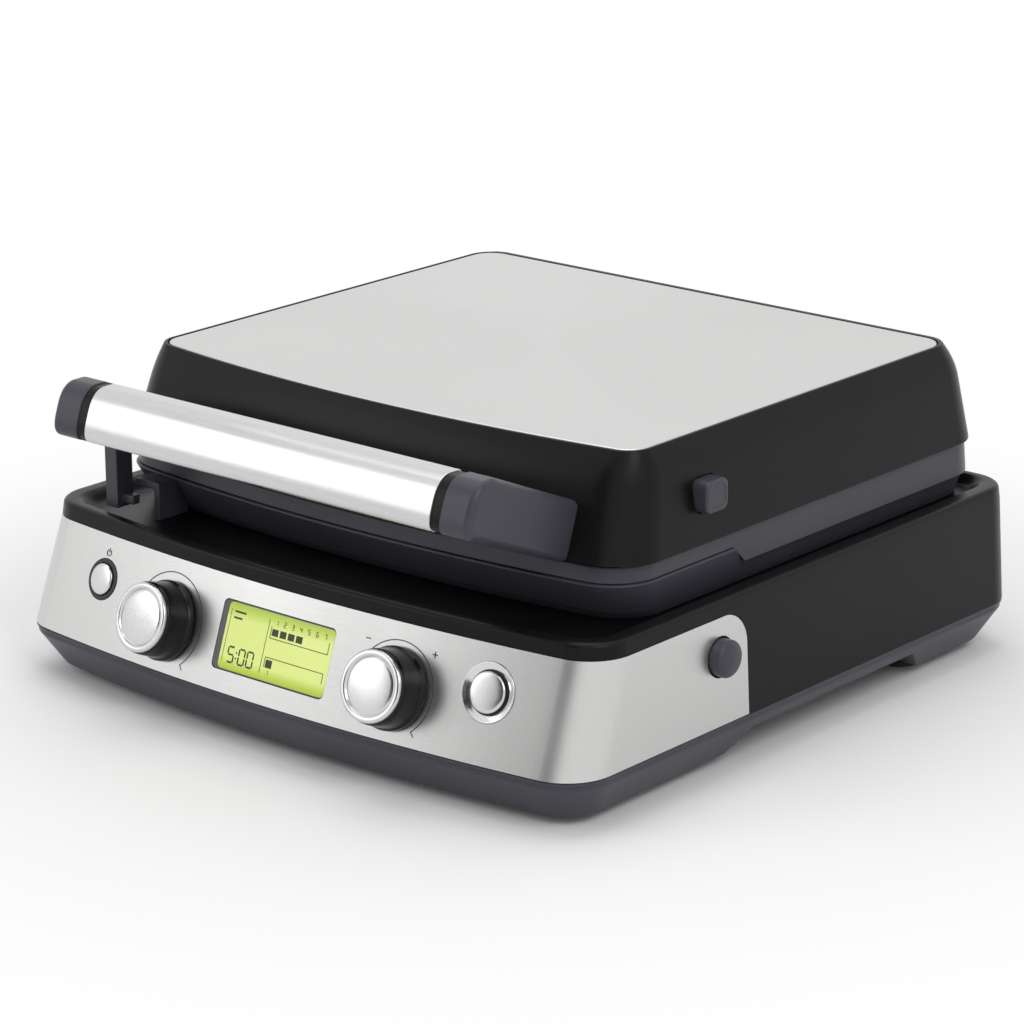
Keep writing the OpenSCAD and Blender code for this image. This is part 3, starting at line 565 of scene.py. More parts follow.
def plastic(name, colour, roughness, grain=0.12, specular=0.4):
    """Moulded plastic with a fine grain."""
    made, tree, shader = material(name, colour, roughness)
    shader.inputs["Specular IOR Level"].default_value = specular
    broad = noise(tree, 18)
    fine = noise(tree, 2600)
    mottle(tree, shader, broad, colour, 0.9, 1.1)
    tree.links.new(greys(tree, fine, roughness - 0.05, roughness + 0.06), shader.inputs["Roughness"])
    bump(tree, shader, fine, grain, 0.05)
    return made


def brushed(name, colour, roughness, stretch, anisotropy=0.5):
    """Brushed metal with its lines along the unstretched direction."""
    made, tree, shader = material(name, colour, roughness, 1)
    shader.inputs["Anisotropic"].default_value = anisotropy
    lines = noise(tree, 60, stretch, 4)
    soft = noise(tree, 7)
    mottle(tree, shader, lines, colour, 0.93, 1.05, 0.25)
    tree.links.new(greys(tree, soft, roughness - 0.04, roughness + 0.05), shader.inputs["Roughness"])
    bump(tree, shader, lines, 0.06, 0.02)
    return made


def spun(name, colour, roughness):
    """Turned metal with a soft sheen."""
    made, tree, shader = material(name, colour, roughness, 1)
    fine = noise(tree, 900)
    mottle(tree, shader, fine, colour, 0.96, 1.03)
    tree.links.new(greys(tree, fine, roughness, roughness + 0.06), shader.inputs["Roughness"])
    return made


def cast_metal(name, colour, roughness, grain):
    """Pressed or coated metal with a pebbled surface."""
    made, tree, shader = material(name, colour, roughness, 0.6)
    fine = noise(tree, 700)
    mottle(tree, shader, fine, colour, 0.85, 1.12)
    tree.links.new(greys(tree, fine, roughness - 0.05, roughness + 0.08), shader.inputs["Roughness"])
    bump(tree, shader, fine, grain, 0.1)
    return made


def rubber():
    """Dull black rubber for the feet."""
    made, tree, shader = material("rubber", (0.012, 0.012, 0.012), 0.75)
    shader.inputs["Sheen Weight"].default_value = 0.2
    fine = noise(tree, 1500)
    tint = ramp(tree, fine, [(0.3, (0.009, 0.009, 0.009)), (0.7, (0.02, 0.02, 0.02))])
    tree.links.new(tint, shader.inputs["Base Color"])
    bump(tree, shader, fine, 0.2, 0.1)
    return made


def lcd_green():
    """The lit display: pale lime, with darker bands along its top and bottom."""
    made, tree, shader = material("lcd_green", (0.72, 0.83, 0.2), 0.22)
    shader.inputs["Coat Weight"].default_value = 0.6
    shader.inputs["Coat Roughness"].default_value = 0.06
    place = tree.nodes.new("ShaderNodeTexCoord")
    split = tree.nodes.new("ShaderNodeSeparateXYZ")
    tree.links.new(place.outputs["Object"], split.inputs["Vector"])
    height = tree.nodes.new("ShaderNodeMapRange")
    height.inputs["From Min"].default_value = (LCD_Z - LCD_H / 2) * MM
    height.inputs["From Max"].default_value = (LCD_Z + LCD_H / 2) * MM
    tree.links.new(split.outputs["Z"], height.inputs["Value"])
    pale = (0.74, 0.85, 0.22)
    mid = (0.5, 0.64, 0.03)
    dark = (0.3, 0.46, 0.0)
    stops = [(0.02, dark), (0.12, mid), (0.22, pale), (0.74, pale), (0.86, mid), (0.97, dark)]
    tint = ramp(tree, height.outputs["Result"], stops)
    tree.links.new(tint, shader.inputs["Base Color"])
    tree.links.new(tint, shader.inputs["Emission Color"])
    shader.inputs["Emission Strength"].default_value = 0.12
    return made


def ink(name, colour):
    """Printed ink, a little uneven."""
    made, tree, shader = material(name, colour, 0.5)
    fine = noise(tree, 1200)
    mottle(tree, shader, fine, colour, 0.85, 1.2)
    return made


black = plastic("black_plastic", (0.0045, 0.0045, 0.005), 0.32, 0.1, 0.16)
grey = plastic("grey_plastic", (0.05, 0.047, 0.061), 0.34, 0.12, 0.3)
knob_black = plastic("knob_black", (0.004, 0.004, 0.0045), 0.24, 0.04, 0.25)
steel = brushed("brushed_steel", (0.62, 0.615, 0.61), 0.3, (1, 45, 45))
sleeve_steel = brushed("sleeve_steel", (0.62, 0.62, 0.62), 0.25, (1, 45, 45))
polished = spun("polished_steel", (0.68, 0.68, 0.69), 0.12)
cap_steel = spun("cap_steel", (0.64, 0.64, 0.65), 0.17)
small_steel = spun("small_steel", (0.6, 0.6, 0.6), 0.3)
coating = cast_metal("plate_coating", (0.035, 0.035, 0.038), 0.4, 0.2)
tray_metal = cast_metal("tray_metal", (0.5, 0.5, 0.49), 0.36, 0.1)
heater_metal = cast_metal("heater_metal", (0.14, 0.13, 0.12), 0.5, 0.15)
foot_rubber = rubber()
lime = lcd_green()
glass_rim = plastic("display_rim", (0.1, 0.1, 0.11), 0.2, 0.02)
lcd_ink = ink("lcd_ink", (0.03, 0.045, 0.01))
panel_ink = ink("panel_ink", (0.05, 0.05, 0.052))
board_green = ink("board_green", (0.02, 0.12, 0.05))
part_plastic = plastic("component_plastic", (0.03, 0.03, 0.035), 0.45)
ring_black = plastic("ring_black", (0.014, 0.014, 0.015), 0.3, 0.04)


# ---- Base ----

SURROUND_WALL = square_outline(TRAY_HALF_X + 4.5, TRAY_HALF_Y + 4.5, 2)
SURROUND_INNER = square_outline(TRAY_HALF_X + 2, TRAY_HALF_Y + 2, 1)


def skirt():
    """The bottom shell, with a gap between its front and rear legs."""
    rise = BAND_Z0 - SKIRT_Z - 4
    levels = [(inset(SKIRT, 1.2), SKIRT_Z)]
    levels += [(between(SKIRT, LOW, k), SKIRT_Z + 1 + k * rise) for k in (0.0, 0.5, 0.93)]
    levels += [(inset(LOW, t), BAND_Z0 - drop) for t, drop in ((1.3, 2.4), (0.3, 1.9), (0.1, 0.9), (0.7, 0))]
    obj = stack("skirt", levels)
    cut(obj, side_prism("tool", LEG_GAP))
    ease(obj, 0.8, 2, 30)
    piece(smooth(obj), grey, "base", "grey_plastic", "bottom_shell")


def feet():
    """Four turned feet with a groove, at the corners of the CAD feet."""
    low, high = mm_box("rubber_feet")
    r = FOOT_R
    top = high.z - 0.5
    profile = [(AXIS, 0.4), (r - 4, 0.4), (r - 3.6, 0), (r - 1.4, 0), (r - 0.4, 0.5), (r, 1.5), (r, 3.4)]
    profile += [(r - 0.6, 3.8), (r - 0.6, 4.6), (r, 5), (r, top), (AXIS, top)]
    for end, y in (("front", low.y + r), ("rear", high.y - r)):
        for side, x in (("left", low.x + r), ("right", high.x - r)):
            obj = lathe(f"foot_{end}_{side}", profile, Matrix.Translation((x, y, 0)), 48)
            piece(smooth(obj), foot_rubber, "base", "rubber", "rubber_feet")


def housing_levels():
    """Up the wall, over the lip, down to the deck, through its opening and back down inside."""
    opening = square_outline(TRAY_HALF_X + 0.5, TRAY_HALF_Y + 0.5, 1)
    levels = [(LOW, BAND_Z0), (HIGH, BAND_Z1)]
    for t in quarter(5):
        levels.append((inset(HIGH, 0.8 + 3.2 * (1 - math.cos(t))), LIP_Z - LIP_R + LIP_R * math.sin(t)))
    for k in shares(8):
        levels.append((between(DISH_HIGH, DISH_LOW, k), LIP_Z - (LIP_Z - DECK_Z) * k * k * (3 - 2 * k)))
    levels += [(opening, DECK_Z), (opening, DECK_Z - 4)]
    levels += [(inset(HIGH, BASE_WALL), DECK_Z - 6), (inset(LOW, BASE_WALL), BAND_Z0)]
    return levels


def band_outline(grow):
    """Side view of the steel band, grown by a gap."""
    ahead = -300
    below = BAND_Z0 - 3
    y = BAND_REAR + grow
    z = BAND_Z1 + grow
    r = BAND_CORNER + grow
    return [(ahead, below), (y, below), *arc(y - r, z - r, r, 0, math.pi / 2, 10), (ahead, z)]


def band_ring(name, outer, inner, z0, z1):
    """A ring of the base's wall between two heights. outer and inner are depths below its surface."""
    places = ((outer, z0), (outer, z1), (inner, z1), (inner, z0))
    return stack(name, [(inset(base_at(z), t), z) for t, z in places], True)


def release_hole():
    """A cutter for the button's hole through the right wall."""
    return cylinder_tool(side_frame(RELEASE_Y, RELEASE_Z), RELEASE_HOLE_R, 150, 230)


def housing():
    """The black upper shell, cut for the band, the button, the hinges and the gland."""
    obj = stack("base_shell", housing_levels(), True)
    recess = band_ring("tool", -1, BAND_T + 0.3, BAND_Z0 - 1, BAND_Z1 + 3)
    cut(recess, side_prism("tool", band_outline(0.35)), "INTERSECT")
    cut(obj, recess)
    cut(obj, release_hole())
    for s in (-1, 1):
        notch = [(s * HINGE_X + x, y) for x, y in ((-6.4, 182), (6.4, 182), (6.4, 202), (-6.4, 202))]
        cut(obj, loft("tool", [[(x, y, z) for x, y in notch] for z in (DECK_Z, 110)]))
    cut(obj, cylinder_tool(back_frame(GLAND_X, GLAND_Z), GLAND_HOLE_R, 180, 210))
    ease(obj, 0.5, 2, 40)
    piece(smooth(obj), black, "base", "black_plastic", "base_housing")


def steel_band():
    """The fascia, with its holes for the display, the two buttons and the release button."""
    obj = band_ring("steel_fascia", 0, BAND_T, BAND_Z0 + 0.35, BAND_Z1 - 0.1)
    cut(obj, side_prism("tool", band_outline(0)), "INTERSECT")
    cut(obj, release_hole())
    place = panel_frame(0, LCD_Z)
    window = [(x - LCD_STRIP / 2, y) for x, y in rounded_rect(LCD_W + LCD_STRIP, LCD_H, 3)]
    cut(obj, loft("tool", [[place @ Vector((x, y, z)) for x, y in window] for z in PANEL_CUT]))
    for x, r in ((-BUTTON_X, START_HOLE_R), (BUTTON_X, TEXTURE_HOLE_R)):
        cut(obj, cylinder_tool(panel_frame(x, BUTTON_Z), r, *PANEL_CUT))
    ease(obj, 0.35, 2, 40)
    piece(smooth(obj), steel, "base", "brushed_steel", "steel_band")


def step_profile(z_front, z_rear, end):
    """Side view of what lies between a parting line and a height."""
    front = PART_STEP_Y - 5
    rear = PART_STEP_Y + 4
    return [(-FAR, z_front), (front, z_front), (rear, z_rear), (FAR, z_rear), (FAR, end), (-FAR, end)]


def lower_surround():
    """The rim that catches batter, cut down behind the step of the parting line."""
    neck = between(RIM_LOW, RIM, 0.3)
    levels = [(inset(RIM_LOW, 0.8), DECK_Z), (RIM_LOW, DECK_Z + 0.8)]
    levels += [(between(RIM_LOW, RIM, 0.22), DECK_Z + 4.2), (inset(neck, 0.25), DECK_Z + 5)]
    levels += [(RIM, PART_FRONT_Z - 0.8), (inset(RIM, 0.8), PART_FRONT_Z), (inset(RIM, 2.5), PART_FRONT_Z)]
    levels += [(inset(neck, 2.5), DECK_Z + 7), (SURROUND_WALL, DECK_Z + 7), (SURROUND_WALL, PART_REAR_Z - 1)]
    levels += [(SURROUND_INNER, PART_REAR_Z - 1), (SURROUND_INNER, DECK_Z + 1.6)]
    obj = stack("lower_rim", levels, True)
    cut(obj, side_prism("tool", step_profile(PART_FRONT_Z + 2, PART_REAR_Z, 200)))
    ease(obj, 0.5, 2, 40)
    piece(smooth(obj), grey, "base", "grey_plastic", "lower_surround")


def gland():
    """The ring at the rear where a cord would leave."""
    root = 191
    face = 196.1
    profile = [(3.6, root), (3.6, 197.6), (4.4, 198), (9.6, 198), (10.6, 197.6), (11, 196.6), (11, face)]
    profile += [(8, face), (8, root)]
    obj = lathe("cord_gland_ring", profile, back_frame(GLAND_X, GLAND_Z), 64, True)
    piece(smooth(obj), black, "base", "black_plastic", "cord_gland")


def base_release():
    """The round release button of the lower plate, with a hidden flange."""
    low, high = mm_box("lower_release_button")
    profile = [(AXIS, low.x), (11.9, low.x), (11.9, low.x + 2.4), (9.9, low.x + 2.6), (9.9, high.x - 3.4)]
    profile += [(9.6, high.x - 2.4), (8.8, high.x - 1.5), (7.4, high.x - 0.8), (5, high.x - 0.3)]
    profile += [(2.5, high.x - 0.08), (AXIS, high.x)]
    obj = lathe("base_release", profile, side_frame(RELEASE_Y, RELEASE_Z))
    piece(smooth(obj), grey, "lower_release", "grey_plastic", "lower_release_button")


# ---- Controls ----


def knob(side, name):
    """A knob's turned body and its steel-faced cap."""
    place = panel_frame(side * KNOB_X, KNOB_Z)
    body = [
        (AXIS, 0.8), (20.7, 0.8), (21.3, 1.1), (21.5, 1.7), (21.5, 3), (21.25, 3.6), (20.7, 4.2),
        (20.3, 5), (20.05, 7), (19.8, 10), (19.55, 13), (19.4, 15.4), (19.2, 16.4), (18.85, 17.2),
        (18.4, 17.7), (18.1, 17.95), (AXIS, 17.95),
    ]
    cap = [
        (AXIS, 17.9), (18.3, 17.9), (18.5, 18.3), (18.5, 18.9), (18.3, 19.5), (17.8, 19.9), (17.1, 20),
        (16.2, 20), (15.6, 19.85), (15.2, 19.45), (15, 18.95), (14.7, 18.8), (14.4, 19), (14, 19.25),
        (12.5, 19.45), (9, 19.65), (5, 19.75), (2, 19.79), (AXIS, 19.8),
    ]
    obj = lathe(name + "_body", body, place, 96)
    piece(smooth(obj, 50), knob_black, name, "knob_black", name)
    obj = lathe(name + "_disc", cap, place, 96)
    piece(smooth(obj, 50), cap_steel, name, "polished_steel", name + "_cap")


def push_button(side, name, r):
    """A push button with a hidden flange and a slightly full face."""
    profile = [
        (AXIS, -6.1), (r + 1.9, -6.1), (r + 1.9, -4.7), (r, -4.7), (r, 0.8), (r - 0.2, 1.3),
        (r - 0.7, 1.65), (r - 1.6, 1.82), (r * 0.6, 1.93), (r * 0.3, 1.98), (AXIS, 2),
    ]
    obj = lathe(name + "_disc", profile, panel_frame(side * BUTTON_X, BUTTON_Z))
    piece(smooth(obj, 50), cap_steel, name, "polished_steel", name)


def button_rings():
    """The ring round each push button, and the texture button's seal."""
    foot = -1.2
    start_ring = [(8.85, foot), (8.85, 0.1), (9.05, 0.34), (9.3, 0.4), (10.9, 0.4), (11.2, 0.3)]
    start_ring += [(11.35, 0.05), (11.35, foot)]
    texture_ring = [(11.3, foot), (11.3, -0.9), (11.6, -0.7), (13, -0.3), (14.3, 0.15), (14.8, 0.36)]
    texture_ring += [(15.1, 0.4), (15.3, 0.25), (15.35, 0), (15.35, foot)]
    seal = [(10.75, foot), (10.75, -0.3), (11.3, -0.3), (11.3, foot)]
    obj = lathe("start_ring", start_ring, panel_frame(-BUTTON_X, BUTTON_Z), 72, True)
    piece(smooth(obj), ring_black, "base", "button_ring", "button_rings")
    place = panel_frame(BUTTON_X, BUTTON_Z)
    obj = lathe("texture_ring", texture_ring, place, 72, True)
    piece(smooth(obj, 50), polished, "base", "polished_steel", "button_rings")
    obj = lathe("texture_seal", seal, place, 72, True)
    piece(smooth(obj), ring_black, "base", "button_ring", "button_rings")


def display():
    """The display's frame, which is wider on its left, and its lit window."""
    obj = bowed_plate("display_frame", LCD_W + LCD_STRIP - 0.6, LCD_H - 0.6, 2.7, -3.5, -0.15, -LCD_STRIP / 2)
    piece(smooth(obj), glass_rim, "base", "lcd_lens", "display_bezel")
    obj = bowed_plate("display_glass", LCD_W - 0.5, LCD_H - 1.6, 2.4, -1.9, 0.05, 0.15)
    piece(smooth(obj), lime, "base", "lcd_glass", "display_lens")


def bar(x, y, w, h):
    """A filled block of the display, about a middle."""
    return ribbon([(x - w / 2, y), (x + w / 2, y)], h, LCD_LIFT)


def bracket(left, right, y, tip):
    """A thin line across the display, with an upright from a height tip at each end."""
    strokes = [((left, y), (right, y)), ((left, tip), (left, y)), ((right, tip), (right, y))]
    return [ribbon(stroke, 0.4, LCD_LIFT) for stroke in strokes]


def digit_strokes(x, y, digit, size, weight):
    """The lit strokes of a seven-segment digit about a middle."""
    half = size / 2
    wide = size * 0.26
    ends = {
        "a": ((-wide, half), (wide, half)),
        "b": ((wide, half), (wide, 0)),
        "c": ((wide, 0), (wide, -half)),
        "d": ((-wide, -half), (wide, -half)),
        "e": ((-wide, 0), (-wide, -half)),
        "f": ((-wide, half), (-wide, 0)),
        "g": ((-wide, 0), (wide, 0)),
    }
    lines = []
    for k in DIGIT_STROKES[digit]:
        (x0, y0), (x1, y1) = ends[k]
        trim = weight * 0.35 / max(math.hypot(x1 - x0, y1 - y0), 0.1)
        start = (x + x0 + (x1 - x0) * trim, y + y0 + (y1 - y0) * trim)
        end = (x + x1 - (x1 - x0) * trim, y + y1 - (y1 - y0) * trim)
        lines.append(ribbon([start, end], weight, LCD_LIFT))
    return lines


def display_marks():
    """A time, a scale from 1 to 7 with four blocks lit, and a counter."""
    half = LCD_H / 2
    top = half - 5.5
    low = 5.5 - half
    left = 5 - LCD_W / 2
    divider = -7.5
    first = divider + 5.2
    pitch = 5.6
    bracket_left = divider + 2.2
    bracket_right = first + 6.5 * pitch + 0.6
    lines = [ribbon([(divider, 4.5 - half), (divider, half - 4.5)], 0.35, LCD_LIFT)]
    lines.append(ribbon([(left - 2.5, 4.5 - half), (left - 2.5, half - 4.5)], 0.3, LCD_LIFT))
    for i in range(7):
        x = first + i * pitch
        lines += digit_strokes(x, top, i + 1, *SMALL_DIGIT)
        if i < 4:
            lines.append(bar(x, top - 5.2, 4.4, 3.6))
    lines += bracket(bracket_left, bracket_right, top - 8.4, top - 2.4)
    lines += bracket(bracket_left, bracket_right, low + 7.6, low + 2.4)
    lines.append(bar(first, low + 4.4, 4.4, 4.2))
    lines += digit_strokes(first, low, 1, *SMALL_DIGIT)
    for x, digit in ((3.2, 5), (11, 0), (17, 0)):
        lines += digit_strokes(left + x, low + 3.6, digit, *LARGE_DIGIT)
    for y in (low + 2.2, low + 5.2):
        lines.append(bar(left + 7.1, y, 0.9, 0.9))
    lines.append(bar(left + 4, top, 8, 1))
    lines.append(bar(left + 3, top - 3.2, 6, 1))
    piece(marks("display_marks", lines, panel_frame(0, LCD_Z)), lcd_ink, "base", "lcd_glass")


def circle_points(y, r, start, end, steps):
    """Points of an arc between angles in degrees, about a middle at a height."""
    return arc(0, y, r, math.radians(start), math.radians(end), steps)


def knob_scale(side, r, name, signs):
    """The printed line round a knob, which ends in a tick, with a minus and a plus if wanted."""
    lines = [ribbon(circle_points(0, r, SCALE_START, SCALE_END, 60), 0.55, PRINT_LIFT)]
    t = math.radians(SCALE_END)
    tick = [(k * math.cos(t), k * math.sin(t)) for k in (r - 0.27, r + 3.2)]
    lines.append(ribbon(tick, 0.55, PRINT_LIFT))
    if signs:
        y = r - 3
        minus = ((1.5 - r, y), (4.7 - r, y))
        across = ((r - 5, y), (r - 1.8, y))
        upright = ((r - 3.4, y - 1.6), (r - 3.4, y + 1.6))
        lines += [ribbon(stroke, 0.6, PRINT_LIFT) for stroke in (minus, across, upright)]
    obj = marks(name, lines, panel_frame(side * KNOB_X, KNOB_Z))
    piece(obj, panel_ink, "base", "black_plastic")


def power_mark():
    """The usual sign for power above the start button."""
    y = 14.6
    lines = [ribbon(circle_points(y, 1.7, 125, 415, 24), 0.4, PRINT_LIFT)]
    lines.append(ribbon([(0, y + 0.1), (0, y + 2.4)], 0.4, PRINT_LIFT))
    obj = marks("power_mark", lines, panel_frame(-BUTTON_X, BUTTON_Z))
    piece(obj, panel_ink, "base", "black_plastic")


# ---- Lid ----


def lid_cover():
    """The black dome: up its wall, over a soft shoulder, and down into the seat of the steel plate."""
    hole = inset(TOP_PLATE, -0.35)
    levels = [(inset(LID_HIGH, 6), LID_TOP - 5), (inset(LID_MID, 3), LID_SHOULDER_Z - 3)]
    levels += [(inset(LID_LOW, 3), LID_Z), (inset(LID_LOW, 0.9), LID_Z)]
    levels += [(inset(LID_LOW, 0.25), LID_Z + 0.35), (LID_LOW, LID_Z + 1)]
    wall = between(LID_LOW, LID_MID, 0.8)
    wall_z = LID_Z + 0.8 * (LID_SHOULDER_Z - LID_Z)
    roof = between(LID_MID, LID_HIGH, 0.75)
    roof_z = LID_SHOULDER_Z + 0.75 * (LID_TOP - LID_SHOULDER_Z)
    for k in shares(8):
        outline = between(between(wall, LID_MID, k), between(LID_MID, roof, k), k)
        z = wall_z * (1 - k) ** 2 + 2 * LID_SHOULDER_Z * k * (1 - k) + roof_z * k * k
        levels.append((outline, z))
    levels += [(between(LID_MID, LID_HIGH, 0.94), LID_TOP - 0.6), (LID_HIGH, LID_TOP)]
    levels += [(inset(hole, -0.3), LID_TOP), (hole, LID_TOP - 0.3), (hole, LID_TOP - 1.4)]
    obj = stack("lid_shell", levels)
    opening = rounded_rect(18, 19, 4.6)
    place = side_frame(LID_RELEASE_Y, LID_RELEASE_Z)
    cut(obj, loft("tool", [[place @ Vector((x, y, z)) for x, y in opening] for z in (150, 220)]))
    ease(obj, 0.4, 2, 50)
    piece(smooth(obj), black, "lid", "black_plastic", "lid_cover")


def lid_top():
    """The steel plate, with a rounded edge."""
    plate = inset(TOP_PLATE, 0.45)
    r = 0.9
    obj = stack("lid_top", [(plate, LID_TOP - 1.3), *rounding(plate, LID_TOP - r, r)])
    piece(smooth(obj, 60), steel, "lid", "brushed_steel", "lid_top_plate")


def upper_surround():
    """The rim of the lid, cut away ahead of the step of the parting line."""
    foot = PART_REAR_Z + PART_GAP
    levels = [(RIM, foot), (RIM_TOP, LID_Z - 2.2), (inset(RIM_TOP, 0.5), LID_Z - 0.9)]
    levels += [(inset(RIM_TOP, 1.6), LID_Z - 0.1), (SURROUND_INNER, LID_Z - 0.1)]
    levels += [(SURROUND_INNER, PART_REAR_Z + 2), (SURROUND_WALL, PART_REAR_Z + 2)]
    levels += [(SURROUND_WALL, LID_Z - 2.5), (inset(RIM_TOP, 4), LID_Z - 2.5), (inset(RIM_TOP, 4), foot)]
    obj = stack("upper_rim", levels, True)
    cut(obj, side_prism("tool", step_profile(PART_FRONT_Z + PART_GAP, foot, 0)))
    ease(obj, 0.5, 2, 40)
    piece(smooth(obj), grey, "lid", "grey_plastic", "upper_surround")


def lid_release():
    """The release button of the upper plate: a hidden flange, and a rounded block with a sunk face."""
    low, high = mm_box("upper_release_button")
    place = side_frame(LID_RELEASE_Y, LID_RELEASE_Z)
    sections = (
        (21, 5, low.x), (21, 5, low.x + 2.4), (17, 4, low.x + 2.6), (17, 4, high.x - 1.6),
        (16.6, 3.9, high.x - 0.8), (15.8, 3.7, high.x - 0.25), (14.6, 3.4, high.x),
        (12, 3, high.x), (11.4, 2.8, high.x - 0.3),
    )
    rings = [[place @ Vector((a, b, x)) for a, b in rounded_rect(w, w + 1, r)] for w, r, x in sections]
    obj = loft("lid_release", rings)
    piece(smooth(obj), grey, "upper_release", "grey_plastic", "upper_release_button")


# ---- Handle ----


def handle_y(z):
    """Front of the handle, which leans back towards its top."""
    return -HANDLE_FRONT - HANDLE_LEAN * (HANDLE_Z1 - z) / (HANDLE_Z1 - HANDLE_Z0)


def bar_section(draw_in):
    """Side view of the bar, a leaning block with a full front and rounded rear corners, as (y, z) points."""
    half = (HANDLE_Z1 - HANDLE_Z0) / 2
    middle = (HANDLE_Z1 + HANDLE_Z0) / 2
    depth = HANDLE_DEPTH / 2
    r = HANDLE_R
    flat = arc(HANDLE_DEPTH - r, r - half, r, -math.pi / 2, 0, 6)
    flat += arc(HANDLE_DEPTH - r, half - r, r, 0, math.pi / 2, 6)
    for i in range(FRONT_POINTS + 1):
        k = math.sin(math.pi / 2 - math.pi * i / FRONT_POINTS)
        flat.append((FRONT_BULGE - FRONT_BULGE * math.sqrt(max(1 - abs(k) ** FRONT_POWER, 0)), half * k))
    points = []
    for u, v in flat:
        z = middle + v * (1 - draw_in / half)
        points.append((handle_y(z) + depth + (u - depth) * (1 - draw_in / depth), z))
    return points


def bar_piece(name, ends):
    """A length of the bar through (x, drawn in) places."""
    return loft(name, [[(x, y, z) for y, z in bar_section(t)] for x, t in ends])


def sleeve():
    """The steel grip."""
    right = [(SLEEVE_HALF - 0.5, 0), (SLEEVE_HALF - 0.15, 0.15), (SLEEVE_HALF, 0.5)]
    ends = [(-x, t) for x, t in reversed(right)] + right
    piece(smooth(bar_piece("handle_grip", ends)), sleeve_steel, "lid", "brushed_steel", "handle_sleeve")


def arm_ring(x, draw_in):
    """A closed ring at a place across: the front of the bar, and the arm's root at the lid."""
    section = bar_section(draw_in)
    count = len(section)
    # The arm's lower and upper lines leave the bar where they only touch its section
    lowest = min(range(count), key=lambda i: section[i][1] * 1.2 + section[i][0] * 0.3)
    highest = max(range(count), key=lambda i: section[i][1] + section[i][0] * 0.43)
    front = [section[(highest + i) % count] for i in range((lowest - highest) % count + 1)]
    ring = [front[round(i * (len(front) - 1) / (ARM_POINTS - 1))] for i in range(ARM_POINTS)]
    ring += [(ARM_ROOT_Y, HANDLE_Z0 - ARM_FOOT + draw_in), (ARM_ROOT_Y, HANDLE_Z1 - ARM_TOP - draw_in)]
    return [(x, y, z) for y, z in ring]


def fit_under_lid(obj):
    """Cuts away what lies inside the lid's outline, up to just above its lower edge."""
    grown = inset(LID_LOW, -1)
    return cut(obj, stack("tool", [(grown, 90), (grown, LID_Z + 1.4)]))


def handle_ends():
    """At each end a recessed collar, and an end piece that runs back to the lid as one smooth arm."""
    for s, side in ((-1, "left"), (1, "right")):
        reach = (s * (SLEEVE_HALF - 1), s * (SLEEVE_HALF + COLLAR_W + 1))
        collar = bar_piece("handle_collar_" + side, [(x, 0.7) for x in reach])
        piece(smooth(collar), black, "lid", "black_plastic", "handle_end_caps")
        start = SLEEVE_HALF + COLLAR_W
        ends = [(s * start, 0.7), (s * (start + 0.2), 0.2), (s * (start + 0.6), 0)]
        for t in quarter(6):
            ends.append((s * (HANDLE_HALF - END_R + END_R * math.sin(t)), END_R * (1 - math.cos(t))))
        obj = loft("handle_end_" + side, [arm_ring(x, t) for x, t in ends])
        fit_under_lid(obj)
        piece(smooth(obj, 50), grey, "lid", "grey_plastic", "handle_end_caps", "handle_frame")


def inner_arms():
    """The part of each arm behind the grip, slightly inside the end pieces."""
    top_y = handle_y(HANDLE_Z1) + HANDLE_DEPTH / 2
    low_y = handle_y(HANDLE_Z0) + HANDLE_DEPTH / 2
    root_foot = HANDLE_Z0 - ARM_FOOT + 0.5
    root_top = HANDLE_Z1 - ARM_TOP - 0.5
    profile = [(low_y, HANDLE_Z0 + 1.5), (ARM_ROOT_Y, root_foot)]
    profile += [(ARM_ROOT_Y, root_top), (top_y, HANDLE_Z1 - 1.8)]
    for s, side in ((-1, "left"), (1, "right")):
        reach = (s * (HANDLE_HALF - ARM_W), s * (SLEEVE_HALF + COLLAR_W + 2))
        obj = loft("handle_arm_" + side, [[(x, y, z) for y, z in profile] for x in reach])
        fit_under_lid(obj)
        ease(obj, 2, 3, 30)
        piece(smooth(obj), grey, "lid", "grey_plastic", "handle_frame")


# ---- Lock ----


def lock():
    """The lever under the handle, its catch on the base and its pin."""
    piece(eased_node("lock_lever", 1.3, 3), grey, "lock_lever", "grey_plastic", "lock_lever")
    piece(eased_node("lock_catch", 0.9, 3), grey, "base", "grey_plastic", "lock_catch")
    piece(eased_node("lock_pin", 0.3), small_steel, "lid", "small_steel", "lock_pin")


# ---- Inside ----


def inside():
    """Plates, trays and hinge parts: their nodes with rounded edges."""
    eased = (
        ("lower_plate", 1.0, coating, "base", "plate_coating"),
        ("lower_plate_rim", 1.2, coating, "base", "plate_coating"),
        ("upper_plate", 1.0, coating, "lid", "plate_coating"),
        ("upper_plate_rim", 1.2, coating, "lid", "plate_coating"),
        ("lower_heater_tray", 0.3, tray_metal, "base", "tray_metal"),
        ("upper_heater_tray", 0.3, tray_metal, "lid", "tray_metal"),
        ("hinge_brackets", 0.8, black, "base", "black_plastic"),
        ("lid_hinge_arms", 0.8, grey, "lid", "grey_plastic"),
    )
    for node, width, finish, body, slot in eased:
        piece(eased_node(node, width), finish, body, slot, node)


def kept_nodes():
    """Finishes of the CAD nodes that stay as they are."""
    finishes = (
        (small_steel, "base_screws", "lid_screws", "hinge_pins", "lower_sensor", "upper_sensor"),
        (small_steel, "lower_plate_latch", "upper_plate_latch"),
        (small_steel, "lower_release_spring", "upper_release_spring"),
        (heater_metal, "lower_heater", "upper_heater"),
        (board_green, "control_board", "power_board"),
        (part_plastic, "relay", "lcd_module", "button_switches", "left_encoder", "right_encoder"),
    )
    for finish, *nodes in finishes:
        for node in nodes:
            dress(node, finish)


# ---- Stage ----


